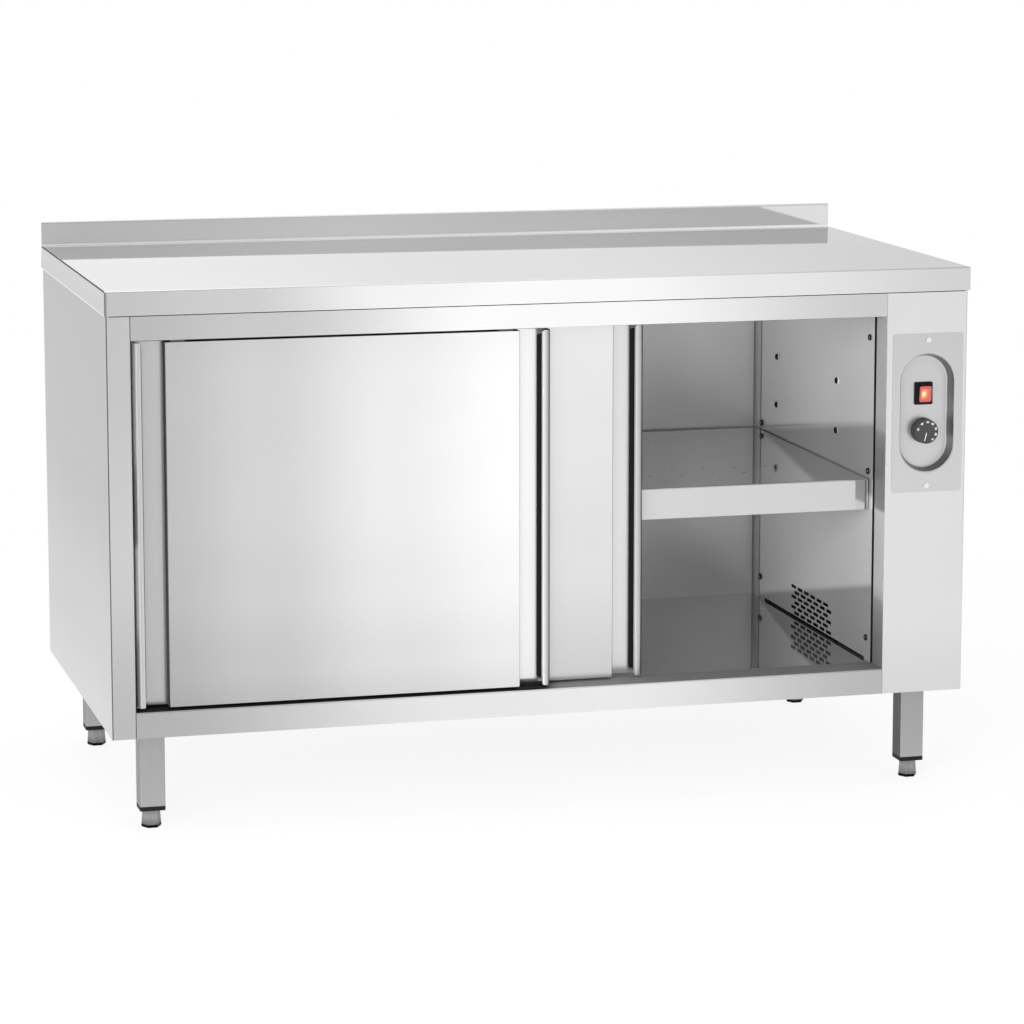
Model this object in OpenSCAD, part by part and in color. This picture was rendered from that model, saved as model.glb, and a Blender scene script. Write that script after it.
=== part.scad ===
// Heated plate cabinet with a worktop, two sliding doors and a control panel.
// Millimetres. X to the right, Y to the back, Z up from the floor.
// The origin is on the floor below the middle of the worktop.

/* [Worktop] */
// Width of the worktop
top_w = 1400; // [1350:10:1600]
// Depth of the worktop
top_d = 700; // [660:10:800]
// Height of the worktop's surface above the floor
work_h = 850; // [830:5:950]
// Height of the worktop's folded edge
top_edge_h = 38; // [30:1:50]
// Radius of the worktop's folded edges
top_edge_r = 2.4; // [1.6:0.2:4]
// Thickness of the worktop's sheet
top_sheet_t = 1.2; // [0.8:0.1:1.5]
// Width of the flange folded inwards under the worktop's edge
top_lip_w = 15; // [8:1:25]
// Height of the splashback above the worktop
splash_h = 40; // [20:1:120]
// Thickness of the splashback
splash_t = 12; // [8:1:25]
// Radius of the fold between the worktop and its splashback
splash_bend_r = 4; // [2:0.5:8]

/* [Casing] */
// Overhang of the worktop over each side of the body
side_overhang = 2.5; // [1:0.5:10]
// Overhang of the worktop over the front of the body
front_overhang = 4; // [4:0.5:12]
// Overhang of the worktop over the back of the body
rear_overhang = 3; // [1:0.5:12]
// Height of the body's underside above the floor
body_clear_h = 155; // [130:5:180]
// Thickness of the casing's sheet
sheet_t = 1.2; // [0.8:0.1:1.5]
// Outer radius of the casing's folds
bend_r = 2.4; // [1.6:0.2:4]
// Width of the front post left of the opening
left_post_w = 37.5; // [30:0.5:60]
// Width of the control panel right of the opening
control_w = 137.5; // [130:0.5:180]
// Height of the rail above the opening
top_rail_h = 39.5; // [38:0.5:60]
// Height of the rail below the opening
bottom_rail_h = 41; // [35:0.5:60]
// Depth of the jambs beside the opening
jamb_d = 47; // [30:1:50]
// Width of the flange of each side panel at the back
rear_flange_w = 27; // [20:1:35]

/* [Compartment] */
// Distance from the body's front to the compartment's walls
liner_setback = 57; // [54:1:60]
// Space between the compartment's back wall and the body's back
back_space = 30; // [20:1:60]
// Drop of the compartment's floor below the opening's lower edge
floor_drop = 1; // [0.5:0.5:3]
// Rise of the compartment's ceiling above the opening's upper edge
ceiling_rise = 3.5; // [2:0.5:6]
// Width of the flanges that the back wall lays on the side walls
back_flange_w = 32; // [15:1:40]
// Height of the slot under the right wall
wall_slot_h = 4; // [2:0.5:8]
// Distance of the slot's ends from the wall's ends
wall_slot_inset = 30; // [10:1:60]

/* [Doors] */
// Overlap of the two doors when both are shut
door_lap = 102; // [90:1:110]
// Distance from the body's front to the front door's face
front_door_setback = 10; // [9:0.5:11]
// Distance from the front door's face to the rear door's face
door_pitch = 30; // [28:0.5:31]
// Gap under the doors
door_bottom_gap = 4; // [3.5:0.5:6]
// Gap over the doors
door_top_gap = 4.5; // [3:0.5:8]
// How far the front door stands away from the left jamb
front_door_open = 4; // [1:1:500]
// How far the rear door stands away from the right jamb
rear_door_open = 395; // [1:1:500]
// Thickness of the doors' sheet
door_sheet_t = 1.2; // [0.8:0.1:1.5]
// Width of the grip along each upright edge of a door
grip_w = 50; // [40:0.5:70]
// Depth of the grip's recess
grip_d = 24; // [18:0.5:24]
// Width of the rounded bar along the outer edge of a grip
bar_w = 13.5; // [13:0.5:18]
// Depth of that bar
bar_d = 6; // [6:0.5:12]
// Radius of that bar's outer corner, toward the door's edge
bar_outer_r = 8.5; // [4:0.5:9]
// Radius of that bar's inner corner, toward the grip's recess
bar_inner_r = 2.5; // [1.5:0.5:4]
// Corner radius of that bar's ends
bar_end_r = 4; // [2.5:0.5:5]
// Length of the closed ends of that bar
bar_end_l = 8; // [4:1:20]
// Thickness of the black liner inside a grip
grip_liner_t = 1.5; // [1.5:0.5:4]
// How far the liner shows beyond the bar
grip_liner_show = 3.6; // [0.5:0.1:4]

/* [Door running gear] */
// Radius of the rollers
roller_r = 10; // [8:0.5:11]
// Width of the rollers
roller_w = 6.5; // [5:0.5:7]
// Radius of the rollers' axles
axle_r = 2.5; // [2:0.25:4]
// Width of the hanger brackets
hanger_w = 22; // [22:1:40]
// Thickness of the hanger brackets
hanger_t = 3; // [2:0.5:4]
// Distance of the hanger brackets from the door's upright edges
hanger_inset = 60; // [51:1:150]
// Thickness of the door track's sheet
track_t = 1.5; // [1:0.1:2]
// How much narrower the guide on the bottom rail is than the doors' overlap
guide_trim = 56; // [50:1:60]
// Distance from the opening's middle to the guide's
guide_offset = 22; // [0:1:23]
// Thickness of that guide
guide_t = 3; // [1.5:0.5:3]
// Thickness of the guide's fins
fin_t = 3; // [2:0.25:4]
// Height that the fins reach into the doors
fin_reach = 4; // [4:0.5:12]

/* [Shelf] */
// Gap between the shelf and each side wall
shelf_side_gap = 3.5; // [3:0.5:10]
// Gap between the shelf and the back wall
shelf_back_gap = 12; // [4:0.5:40]
// Gap between the shelf and the rear door
shelf_front_gap = 4; // [4:0.5:30]
// Height of the shelf's front lip
shelf_lip_h = 50; // [30:1:70]
// Width of the flange under that lip
shelf_lip_return = 12; // [6:1:25]
// Height of the shelf's other edges
shelf_edge_h = 23.7; // [15:0.1:40]
// Radius of the holes in the shelf
shelf_hole_r = 3; // [1.5:0.5:6]
// Distance between holes along the shelf
shelf_hole_pitch = 54; // [40:1:90]
// Distance between the two rows of a pair
shelf_row_pitch = 55; // [40:1:90]
// Height of the lowest row of studs above the compartment's floor
stud_row_h = 275; // [200:1:290]
// Distance between rows of stud sockets
stud_pitch = 84; // [60:1:90]
// Radius of the studs
stud_r = 4; // [3:0.5:5]
// Length of the studs
stud_l = 14; // [11:1:20]
// Distance from the walls' front edge to the first column of sockets
stud_front = 177; // [120:1:200]
// Distance from the first to the second column of sockets
stud_column_pitch = 309; // [250:1:330]
// Distance from the shelf's front edge to its first row of holes
shelf_front_rows = 113; // [60:1:140]
// Distance from the shelf's rear edge to the first row of the rear pair
shelf_rear_rows = 138; // [100:1:200]

/* [Wall screws] */
// Distance of the front screws from the walls' front edge
wall_screw_front = 20; // [15:1:40]
// Distance of the rear screws from the back wall
wall_screw_back = 39; // [38:1:60]
// Height of the lowest screws above the compartment's floor
wall_screw_low = 38; // [20:1:60]
// Height of the middle screws above the compartment's floor
wall_screw_mid = 315; // [295:1:340]
// Distance of the highest screws from the ceiling
wall_screw_top = 46; // [20:1:60]

/* [Grille] */
// Distance from the walls' front edge to the grille
grille_front = 192; // [150:1:220]
// Height of the grille's lower edge above the compartment's floor
grille_rise = 6; // [5:0.5:20]
// Rows of slots in the grille
grille_rows = 6; // [3:1:7]
// Columns of slots in the grille
grille_cols = 6; // [3:1:6]
// Length of a slot
slot_l = 28; // [15:1:29]
// Height of a slot
slot_h = 5.5; // [3:0.5:6]
// Distance between slots along a row
slot_pitch = 33; // [32:1:36]
// Distance between rows
slot_row_pitch = 9; // [7.5:0.5:10]

/* [Controls] */
// Width of the control plate
plate_w = 120; // [110:1:124]
// Height of the control plate
plate_h = 258; // [240:1:320]
// Thickness of the control plate
plate_t = 1.2; // [0.8:0.1:1.6]
// Corner radius of the control plate
plate_r = 5; // [2:0.5:10]
// Distance from the body's top to the control plate's middle
plate_drop = 197.5; // [180:0.5:260]
// Height between the two plate screws
plate_screw_span = 237.4; // [226:0.2:250]
// Width of the dish in the control plate
dish_w = 92; // [86:1:95]
// Height of the dish in the control plate
dish_h = 192.5; // [170:0.5:200]
// Depth of the dish
dish_d = 20; // [15:0.5:20]
// Slope of the dish's wall, in degrees
dish_slope = 14; // [5:1:16]
// Radius of the dish's lip
dish_lip_r = 2.5; // [1:0.5:3]
// Radius between the dish's wall and floor
dish_fillet_r = 3; // [1.5:0.5:4]
// Height of the switch above the dish's middle
switch_rise = 29.5; // [20:0.5:45]
// Width of the switch's flange
switch_w = 31; // [30:0.5:36]
// Height of the switch's flange
switch_h = 37; // [35:0.5:44]
// Width of the rocker
rocker_w = 22; // [18:0.2:22]
// Height of the rocker
rocker_h = 27; // [22:0.2:27]
// Angle of the rocker at rest
rocker_tilt = 6; // [3:1:7]
// Drop of the knob below the dish's middle
knob_drop = 31; // [25:0.5:45]
// Radius of the knob
knob_r = 20.5; // [14:0.5:24]
// Height of the knob
knob_h = 20; // [10:0.5:22]
// Radius of the thermostat's shaft
shaft_r = 3; // [2:0.25:4]

/* [Air heater] */
// Radius of the fan wheel
fan_r = 25; // [18:1:26]
// Length of the fan wheel
fan_l = 200; // [160:5:200]
// Blades on the fan wheel
fan_blades = 20; // [10:2:24]
// Radius of the fan wheel's shaft
fan_shaft_r = 3; // [2:0.25:4]
// Radius of the heating element's tube
element_r = 3.25; // [2.5:0.25:4]
// Height between runs of the heating element
element_pitch = 18; // [14:1:20]
// Width of the air heater's duct
duct_w = 86.8; // [84:0.2:95]
// Height of the air heater's duct
duct_h = 72; // [70:1:90]
// Distance of the terminal block from the cabinet's side
terminal_inset = 80; // [50:1:90]
// Distance from the terminal block to the cable gland
terminal_gap = 70; // [40:1:80]
// Distance of the cable gland from the cabinet's side
gland_inset = 60; // [30:1:70]
// Distance of the cable gland from the compartment's back wall
gland_back = 90; // [80:1:120]

/* [Legs] */
// Width of a leg's square tube
leg_w = 40; // [36:1:50]
// Wall of a leg's tube
leg_wall = 1.5; // [1:0.1:2.5]
// Corner radius of a leg's tube
leg_r = 3; // [2.6:0.2:5]
// Distance from the body's side to a leg
leg_side_inset = 48; // [30:1:80]
// Distance from the body's front and back to a leg
leg_end_inset = 41.6; // [30:0.2:80]
// Thickness of the cap under a leg
cap_t = 7; // [4:0.5:12]
// Height of a foot when screwed right in
foot_h = 29; // [25:1:45]
// Radius across the corners of a foot at its lower end
foot_r = 16; // [14:0.5:18]
// Height of the black sole of a foot
sole_h = 5; // [3:0.5:8]
// Radius of a foot's threaded stem
stem_r = 5; // [4:0.5:8]

/* [Hidden] */
$fn = 48;

// Cuts run this far past the faces that they open
over = 1;
// Radial clearance of a turning fit
turn_gap = 0.05;
// Gap between pieces that slide on each other
slide_gap = 0.3;

// Body
top_y0 = -top_d / 2;
top_y1 = top_d / 2;
body_x0 = -top_w / 2 + side_overhang;
body_x1 = top_w / 2 - side_overhang;
body_y0 = top_y0 + front_overhang;
body_y1 = top_y1 - rear_overhang;
body_z0 = body_clear_h;
body_z1 = work_h - top_edge_h;
open_x0 = body_x0 + left_post_w;
open_x1 = body_x1 - control_w;
open_z0 = body_z0 + bottom_rail_h;
open_z1 = body_z1 - top_rail_h;
rear_panel_y0 = body_y1 - 2 * sheet_t;

// Compartment, measured to its inner faces
liner_y0 = body_y0 + liner_setback;
liner_y1 = body_y1 - back_space;
floor_z = open_z0 - floor_drop;
ceiling_z = open_z1 + ceiling_rise;
liner_x0 = open_x0 - sheet_t;
liner_x1 = open_x1 + sheet_t;
wall_return = 12;

// Doors
door_end_gap = 1;
door_w = (open_x1 - open_x0 - 2 * door_end_gap + door_lap) / 2;
door_t = grip_d + 2 * door_sheet_t;
door_z0 = open_z0 + door_bottom_gap;
door_z1 = open_z1 - door_top_gap;
front_door_x = open_x0 + front_door_open;
rear_door_x = open_x1 - rear_door_open - door_w;
front_door_y = body_y0 + front_door_setback;
rear_door_y = front_door_y + door_pitch;
fin_y = door_t / 2;
fin_end_gap = 3;
guide_w = door_lap - guide_trim;
fin_w = guide_w - 2 * fin_end_gap;
fin_slot_w = fin_t + 1.4;
fin_slot_h = fin_reach + 2;
guide_x = (open_x0 + open_x1) / 2 + guide_offset;
guide_r = 3;

// Track and rollers
ledge_z = ceiling_z;
track_z1 = body_z1 - sheet_t;
roller_z = ledge_z + track_t + slide_gap + roller_r;
hanger_foot_t = 2;
hanger_y = door_t / 2;
hanger_top_z = roller_z + roller_r - 2;
roller_y1 = hanger_y - 0.5;
roller_y0 = roller_y1 - roller_w;
axle_head_t = 1;
web_y0 = -3.5;
ledge_y1 = roller_y1 - 0.3;
track_y1 = rear_door_y + door_t + 2 + track_t;
hanger_x = [hanger_inset, door_w - hanger_inset - hanger_w];

// Shelf
shelf_x0 = open_x0 + shelf_side_gap;
shelf_x1 = open_x1 - shelf_side_gap;
shelf_y0 = rear_door_y + door_t + shelf_front_gap;
shelf_y1 = liner_y1 - shelf_back_gap;
stud_z = floor_z + stud_row_h;
shelf_z1 = stud_z + stud_r + slide_gap + shelf_edge_h;
stud_rows = 3;
stud_columns = [liner_y0 + stud_front, liner_y0 + stud_front + stud_column_pitch];
socket_r = 5;
socket_flange_r = 6.5;
socket_flange_t = 1;
socket_l = 12;
socket_bore_r = 2.6;
wall_screw_y = [liner_y0 + wall_screw_front, liner_y1 - wall_screw_back];
wall_screw_z = [floor_z + wall_screw_low, floor_z + wall_screw_mid, ceiling_z - wall_screw_top];
screw_r = 1.9;
screw_head_r = 4;
screw_head_t = 2;
screw_l = 10;

// Controls
plate_x = body_x1 - control_w / 2 + 1.75;
plate_z = body_z1 - plate_drop;
plate_y0 = body_y0 - plate_t;
dish_y = plate_y0 + dish_d;
dish_r = dish_w / 2;
dish_back_r = dish_r + plate_t / cos(dish_slope) + plate_t * tan(dish_slope);
dish_gap = 0.8;
switch_z = plate_z + switch_rise;
knob_z = plate_z - knob_drop;
switch_flange_t = 2;
switch_frame_h = 7;
switch_body_l = 22;
frame_wall = 2;
pocket_gap = 0.4;
pocket_d = 10;
switch_body_w = rocker_w + 2 * pocket_gap + 3;
switch_body_h = rocker_h + 2 * pocket_gap + 3;
rocker_pin_r = 1.5;
rocker_pin_l = 1.5;
rocker_y = dish_y - 2.5;
rocker_face = 9.5;
knob_gap = 0.8;
knob_web_t = 3;
thermostat_w = 38;
thermostat_l = 28;
shaft_depth = 12;

// Air heater
fan_x = open_x1 + 52;
fan_z = floor_z + 29;
fan_y0 = liner_y0 + grille_front + 5;
fan_y1 = fan_y0 + fan_l;
fan_end_gap = 7;
duct_t = 1;
duct_y0 = fan_y0 - fan_end_gap;
duct_y1 = fan_y1 + fan_end_gap;
duct_x1 = liner_x1 + duct_w;
duct_z0 = fan_z - duct_h / 2 + 2;
duct_z1 = duct_z0 + duct_h;
duct_flange = 14;
element_x = open_x1 + 16;
element_bend_y = 6;

// Legs
leg_x = body_x1 - leg_side_inset - leg_w / 2;
leg_y = [body_y0 + leg_end_inset + leg_w / 2, body_y1 - leg_end_inset - leg_w / 2];
leg_z0 = foot_h + cap_t;
plug_h = 14;
stem_top_z = foot_h + 52;
gland_x = body_x1 - gland_inset;
gland_y = liner_y1 - gland_back;
gland_thread_r = 10;
gland_bore_r = 4.5;
gland_dome_l = 12;
gland_hex_l = 6;
gland_nut_l = 6;

// Colours
steel = [0.80, 0.81, 0.82];
inner_steel = [0.66, 0.67, 0.68];
zinc = [0.60, 0.61, 0.62];
black = [0.10, 0.10, 0.11];
board = [0.70, 0.60, 0.45];
wool = [0.85, 0.80, 0.62];

// A box between two corners
module box(lo, hi) {
    translate(lo)
        cube(hi - lo);
}

// An outline in Y and Z, drawn out along X
module along_x(x0, x1) {
    translate([x0, 0, 0])
        rotate([90, 0, 90])
            linear_extrude(x1 - x0)
                children();
}

// An outline in X and Z, drawn out along Y
module along_y(y0, y1) {
    translate([0, y1, 0])
        rotate([90, 0, 0])
            linear_extrude(y1 - y0)
                children();
}

// An outline in X and Y, drawn out along Z
module along_z(z0, z1) {
    translate([0, 0, z0])
        linear_extrude(z1 - z0)
            children();
}

// A round rod along Y
module rod_y(r, x, z, y0, y1) {
    translate([x, y0, z])
        rotate([-90, 0, 0])
            cylinder(r = r, h = y1 - y0);
}

// A round rod along X
module rod_x(r, y, z, x0, x1) {
    translate([x0, y, z])
        rotate([0, 90, 0])
            cylinder(r = r, h = x1 - x0);
}

// What rounding a corner at the origin takes away
module corner_cut(r) {
    difference() {
        translate([-over, -over])
            square(r + over);
        translate([r, r])
            circle(r);
    }
}

// A rectangle with a radius for each corner, anticlockwise from the lower left
module round_rect(x0, y0, x1, y1, r) {
    difference() {
        translate([x0, y0])
            square([x1 - x0, y1 - y0]);
        if (r[0] > 0)
            translate([x0, y0])
                corner_cut(r[0]);
        if (r[1] > 0)
            translate([x1, y0])
                mirror([1, 0])
                    corner_cut(r[1]);
        if (r[2] > 0)
            translate([x1, y1])
                rotate(180)
                    corner_cut(r[2]);
        if (r[3] > 0)
            translate([x0, y1])
                mirror([0, 1])
                    corner_cut(r[3]);
    }
}

// Worktop: one folded sheet with the splashback, open below between its flanges
module worktop_outer() {
    intersection() {
        along_x(-top_w / 2, top_w / 2)
            round_rect(top_y0, body_z1, top_y1, work_h, [0, 0, 0, top_edge_r]);
        along_y(top_y0, top_y1)
            round_rect(-top_w / 2, body_z1, top_w / 2, work_h, [0, 0, top_edge_r, top_edge_r]);
    }
    along_x(-top_w / 2, top_w / 2) {
        round_rect(top_y1 - splash_t, work_h - top_edge_r, top_y1, work_h + splash_h,
            [0, 0, 0, top_edge_r]);
        difference() {
            translate([top_y1 - splash_t - splash_bend_r, work_h - top_edge_r])
                square([splash_bend_r + over, splash_bend_r + top_edge_r]);
            translate([top_y1 - splash_t - splash_bend_r, work_h + splash_bend_r])
                circle(splash_bend_r);
        }
    }
}

module worktop() {
    color(steel)
        difference() {
            worktop_outer();
            box([-top_w / 2, top_y0, body_z1] + top_sheet_t * [1, 1, 1],
                [top_w / 2, top_y1, work_h] - top_sheet_t * [1, 1, 1]);
            box([-top_w / 2 + top_sheet_t, top_y1 - splash_t + top_sheet_t, work_h - 2 * top_sheet_t],
                [top_w / 2, top_y1, work_h + splash_h] - top_sheet_t * [1, 1, 1]);
            box([-top_w / 2 + top_lip_w, top_y0 + top_lip_w, body_z1 - over],
                [top_w / 2 - top_lip_w, top_y1 - top_lip_w, body_z1 + 2 * top_sheet_t]);
        }
}

// Board inside the worktop
module worktop_core() {
    color(board)
        box([-top_w / 2, top_y0, body_z1] + top_sheet_t * [1, 1, 1],
            [top_w / 2, top_y1, work_h] - top_sheet_t * [1, 1, 1]);
}

// Plan of a side panel, with its jamb at x = 0 and the cabinet's side at x = w
module side_plan(w) {
    inner_r = bend_r - sheet_t;
    difference() {
        round_rect(0, body_y0, w, body_y1, [bend_r, bend_r, bend_r, 0]);
        round_rect(sheet_t, body_y0 + sheet_t, w - sheet_t, body_y1 - sheet_t,
            [inner_r, inner_r, inner_r, 0]);
        translate([-over, body_y0 + jamb_d])
            square([over + sheet_t, top_d]);
        translate([-over, body_y1 - sheet_t - over])
            square([over + w - rear_flange_w, sheet_t + 2 * over]);
    }
}

module side_panel(w) {
    difference() {
        along_z(body_z0, body_z1)
            side_plan(w);
        box([-over, body_y0 + sheet_t, body_z0 - over],
            [w - sheet_t, rear_panel_y0, body_z0 + sheet_t]);
    }
}

module left_side_panel() {
    color(steel)
        translate([open_x0, 0, 0])
            mirror([1, 0, 0])
                side_panel(left_post_w);
}

module right_side_panel() {
    color(steel)
        difference() {
            translate([open_x1, 0, 0])
                side_panel(control_w);
            along_y(body_y0 - over, body_y0 + sheet_t + over)
                translate([plate_x, plate_z])
                    stadium(dish_back_r + dish_gap, dish_h - dish_w);
            for (s = [-1, 1])
                rod_y(screw_r + turn_gap, plate_x, plate_z + s * plate_screw_span / 2,
                    body_y0 - over, body_y0 + sheet_t + over);
        }
}

// Upright stadium outline about the origin
module stadium(r, l) {
    translate([-r, -l / 2])
        square([2 * r, l]);
    for (s = [-1, 1])
        translate([0, s * l / 2])
            circle(r);
}

// Rear panel, with a block of vent slots behind the air heater
vent_rows = 10;
vent_slot_l = 70;
vent_slot_r = 2.5;
vent_pitch = 14;

module rear_panel() {
    vent_x = (open_x1 + body_x1) / 2;
    color(steel)
        difference() {
            box([body_x0 + bend_r, rear_panel_y0, body_z0],
                [body_x1 - bend_r, rear_panel_y0 + sheet_t, body_z1]);
            for (i = [0 : vent_rows - 1])
                along_y(rear_panel_y0 - over, body_y1)
                    translate([vent_x, floor_z + 60 + i * vent_pitch])
                        rotate(90)
                            stadium(vent_slot_r, vent_slot_l - 2 * vent_slot_r);
        }
}

module bottom_panel() {
    inner_r = bend_r - sheet_t;
    color(zinc)
        difference() {
            along_z(body_z0, body_z0 + sheet_t)
                round_rect(body_x0 + sheet_t, body_y0 + sheet_t, body_x1 - sheet_t, rear_panel_y0,
                    [inner_r, inner_r, 0, 0]);
            translate([gland_x, gland_y, body_z0 - over])
                cylinder(r = gland_thread_r + turn_gap, h = sheet_t + 2 * over);
        }
}

// Rail above the doors: front sheet, long flange on top, short flange below
module top_rail() {
    inner_r = bend_r - sheet_t;
    color(steel)
        along_x(open_x0, open_x1) {
            difference() {
                round_rect(body_y0, open_z1, front_door_y + web_y0 - 0.3, body_z1, [bend_r, 0, 0, 0]);
                round_rect(body_y0 + sheet_t, open_z1 + sheet_t, track_y1, body_z1 - sheet_t,
                    [inner_r, 0, 0, 0]);
            }
            translate([body_y0, body_z1 - sheet_t])
                square([track_y1 - body_y0, sheet_t]);
        }
}

// Rail below the doors: front sheet, threshold and a fold down in front of the floor
module bottom_rail() {
    inner_r = bend_r - sheet_t;
    fold_h = 15;
    color(steel)
        along_x(open_x0, open_x1)
            difference() {
                round_rect(body_y0, body_z0, liner_y0, open_z0, [0, 0, 0, bend_r]);
                round_rect(body_y0 + sheet_t, body_z0 - over, liner_y0 - sheet_t, open_z0 - sheet_t,
                    [0, 0, 0, inner_r]);
                translate([body_y0 + sheet_t, body_z0 - over])
                    square([liner_setback, bottom_rail_h - fold_h + over]);
            }
}

// Side wall of the compartment at x = 0, with the casing's side at positive x
module inner_wall() {
    difference() {
        union() {
            box([0, liner_y0, floor_z], [sheet_t, liner_y1, ceiling_z]);
            box([0, liner_y0, floor_z], [wall_return, liner_y0 + sheet_t, ceiling_z]);
        }
        for (y = stud_columns, i = [0 : stud_rows - 1])
            rod_x(socket_r + turn_gap, y, stud_z + i * stud_pitch, -over, sheet_t + over);
        for (y = wall_screw_y, z = wall_screw_z)
            rod_x(screw_r + turn_gap, y, z, -over, sheet_t + over);
    }
}

module inner_left_wall() {
    color(inner_steel)
        translate([open_x0, 0, 0])
            mirror([1, 0, 0])
                inner_wall();
}

// Grille slots, staggered by half a pitch in every other row
module grille_slots() {
    for (row = [0 : grille_rows - 1])
        for (col = [0 : grille_cols - 1])
            translate([
                liner_y0 + grille_front + (col + (row % 2) / 2) * slot_pitch,
                floor_z + grille_rise + row * slot_row_pitch
            ])
                square([slot_l, slot_h]);
}

module inner_right_wall() {
    color(inner_steel)
        difference() {
            translate([open_x1, 0, 0])
                inner_wall();
            along_x(open_x1 - over, open_x1 + sheet_t + over)
                grille_slots();
            box([open_x1 - over, liner_y0 + wall_slot_inset, floor_z - over],
                [open_x1 + sheet_t + over, liner_y1 - 2 * wall_slot_inset, floor_z + wall_slot_h]);
        }
}

module inner_back_wall() {
    color(inner_steel)
        difference() {
            box([liner_x0, liner_y1 - back_flange_w, floor_z],
                [liner_x1, liner_y1 + sheet_t, ceiling_z]);
            box([open_x0 + sheet_t, liner_y0, floor_z - over],
                [open_x1 - sheet_t, liner_y1, ceiling_z + over]);
            for (x = [liner_x0 - over, open_x1])
                box([x, liner_y0, floor_z - over],
                    [x + sheet_t + over, liner_y1, ceiling_z + over]);
        }
}

module inner_ceiling() {
    color(inner_steel)
        box([liner_x0, track_y1 + 1, ceiling_z],
            [liner_x1, liner_y1 + sheet_t, ceiling_z + sheet_t]);
}

module inner_floor() {
    color(inner_steel)
        box([liner_x0, liner_y0, floor_z - sheet_t],
            [liner_x1, liner_y1 + sheet_t, floor_z]);
}

// Mineral wool: below the floor, over the ceiling, behind the back wall and on the left,
// where it leaves room for the sockets and screws of the side wall
module insulation_slabs() {
    low_z = floor_z - sheet_t;
    high_z = ceiling_z + sheet_t;
    joint_gap = 0.5;
    color(wool) {
        box([liner_x0, liner_y0, body_z0 + sheet_t], [liner_x1, rear_panel_y0, low_z]);
        box([liner_x0, track_y1 + 1, high_z], [liner_x1, rear_panel_y0, body_z1]);
        box([liner_x0, liner_y1 + sheet_t, low_z + joint_gap],
            [liner_x1, rear_panel_y0, high_z - joint_gap]);
        box([body_x0 + sheet_t, liner_y0 + sheet_t, body_z0 + sheet_t],
            [open_x0 - socket_l - 1, rear_panel_y0, body_z1]);
    }
}

// Folded track: a ledge for each door's rollers
module door_track() {
    end_gap = 0.5;
    color(zinc)
        along_x(open_x0 + end_gap, open_x1 - end_gap) {
            translate([front_door_y + web_y0, track_z1 - track_t])
                square([track_y1 - front_door_y - web_y0, track_t]);
            for (y = [front_door_y, rear_door_y]) {
                translate([y + web_y0, ledge_z])
                    square([track_t, track_z1 - ledge_z]);
                translate([y + web_y0, ledge_z])
                    square([ledge_y1 - web_y0, track_t]);
            }
            translate([track_y1 - track_t, ledge_z])
                square([track_t, track_z1 - ledge_z]);
        }
}

// Guide on the threshold, with a fin that reaches into each door
module floor_guide() {
    color(black) {
        along_z(open_z0, open_z0 + guide_t)
            round_rect(guide_x - guide_w / 2, front_door_y - 4,
                guide_x + guide_w / 2, liner_y0 - 0.5, guide_r * [1, 1, 1, 1]);
        for (y = [front_door_y, rear_door_y])
            box([guide_x - fin_w / 2, y + fin_y - fin_t / 2, open_z0 + guide_t],
                [guide_x + fin_w / 2, y + fin_y + fin_t / 2, door_z0 + fin_reach]);
    }
}

// Groove in a door's lower edge for the fin
module fin_slot() {
    box([grip_w - over, fin_y - fin_slot_w / 2, door_z0 - over],
        [door_w - grip_w + over, fin_y + fin_slot_w / 2, door_z0 + fin_slot_h]);
}

// Raised front of a door: a pan that is open to the back
module door_panel() {
    inner_r = bend_r - door_sheet_t;
    flange_d = grip_d + door_sheet_t;
    color(steel)
        difference() {
            along_z(door_z0, door_z1)
                round_rect(grip_w, 0, door_w - grip_w, flange_d, [bend_r, bend_r, 0, 0]);
            along_z(door_z0 + door_sheet_t, door_z1 - door_sheet_t)
                round_rect(grip_w + door_sheet_t, door_sheet_t,
                    door_w - grip_w - door_sheet_t, flange_d + over, [inner_r, inner_r, 0, 0]);
            for (x = [grip_w - over, door_w - grip_w - door_sheet_t])
                box([x, grip_d, door_z0 - over],
                    [x + door_sheet_t + over, flange_d + over, door_z1 + over]);
            fin_slot();
        }
}

// Section of a left grip: flat strip, outer wall and the rounded bar
module grip_section() {
    difference() {
        round_rect(0, 0, bar_w, grip_d + door_sheet_t, [bar_outer_r, bar_inner_r, 0, 0]);
        round_rect(door_sheet_t, door_sheet_t, bar_w - door_sheet_t, grip_d,
            [bar_outer_r - door_sheet_t, bar_inner_r - door_sheet_t, 0, 0]);
        translate([bar_w - door_sheet_t - over, bar_d])
            square([door_sheet_t + 2 * over, grip_d - bar_d]);
    }
    translate([0, grip_d])
        square([grip_w + door_sheet_t, door_sheet_t]);
}

// The bar's whole section, which closes its ends
module bar_end_section() {
    intersection() {
        round_rect(0, 0, bar_w, grip_d, [bar_outer_r, bar_inner_r, 0, 0]);
        square([bar_w, bar_d]);
    }
}

module left_grip() {
    color(steel)
        difference() {
            union() {
                along_z(door_z0, door_z1)
                    grip_section();
                for (z = [door_z0, door_z1 - bar_end_l])
                    along_z(z, z + bar_end_l)
                        bar_end_section();
            }
            along_y(-over, bar_d)
                difference() {
                    translate([-over, door_z0 - over])
                        square([bar_w + 2 * over, door_z1 - door_z0 + 2 * over]);
                    round_rect(0, door_z0, bar_w, door_z1, bar_end_r * [1, 1, 1, 1]);
                }
        }
}

// The right grip mirrors the left one
module right_grip() {
    translate([door_w, 0, 0])
        mirror([1, 0, 0])
            left_grip();
}

module door_back() {
    color(steel)
        box([0, grip_d + door_sheet_t, door_z0], [door_w, door_t, door_z1]);
}

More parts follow.
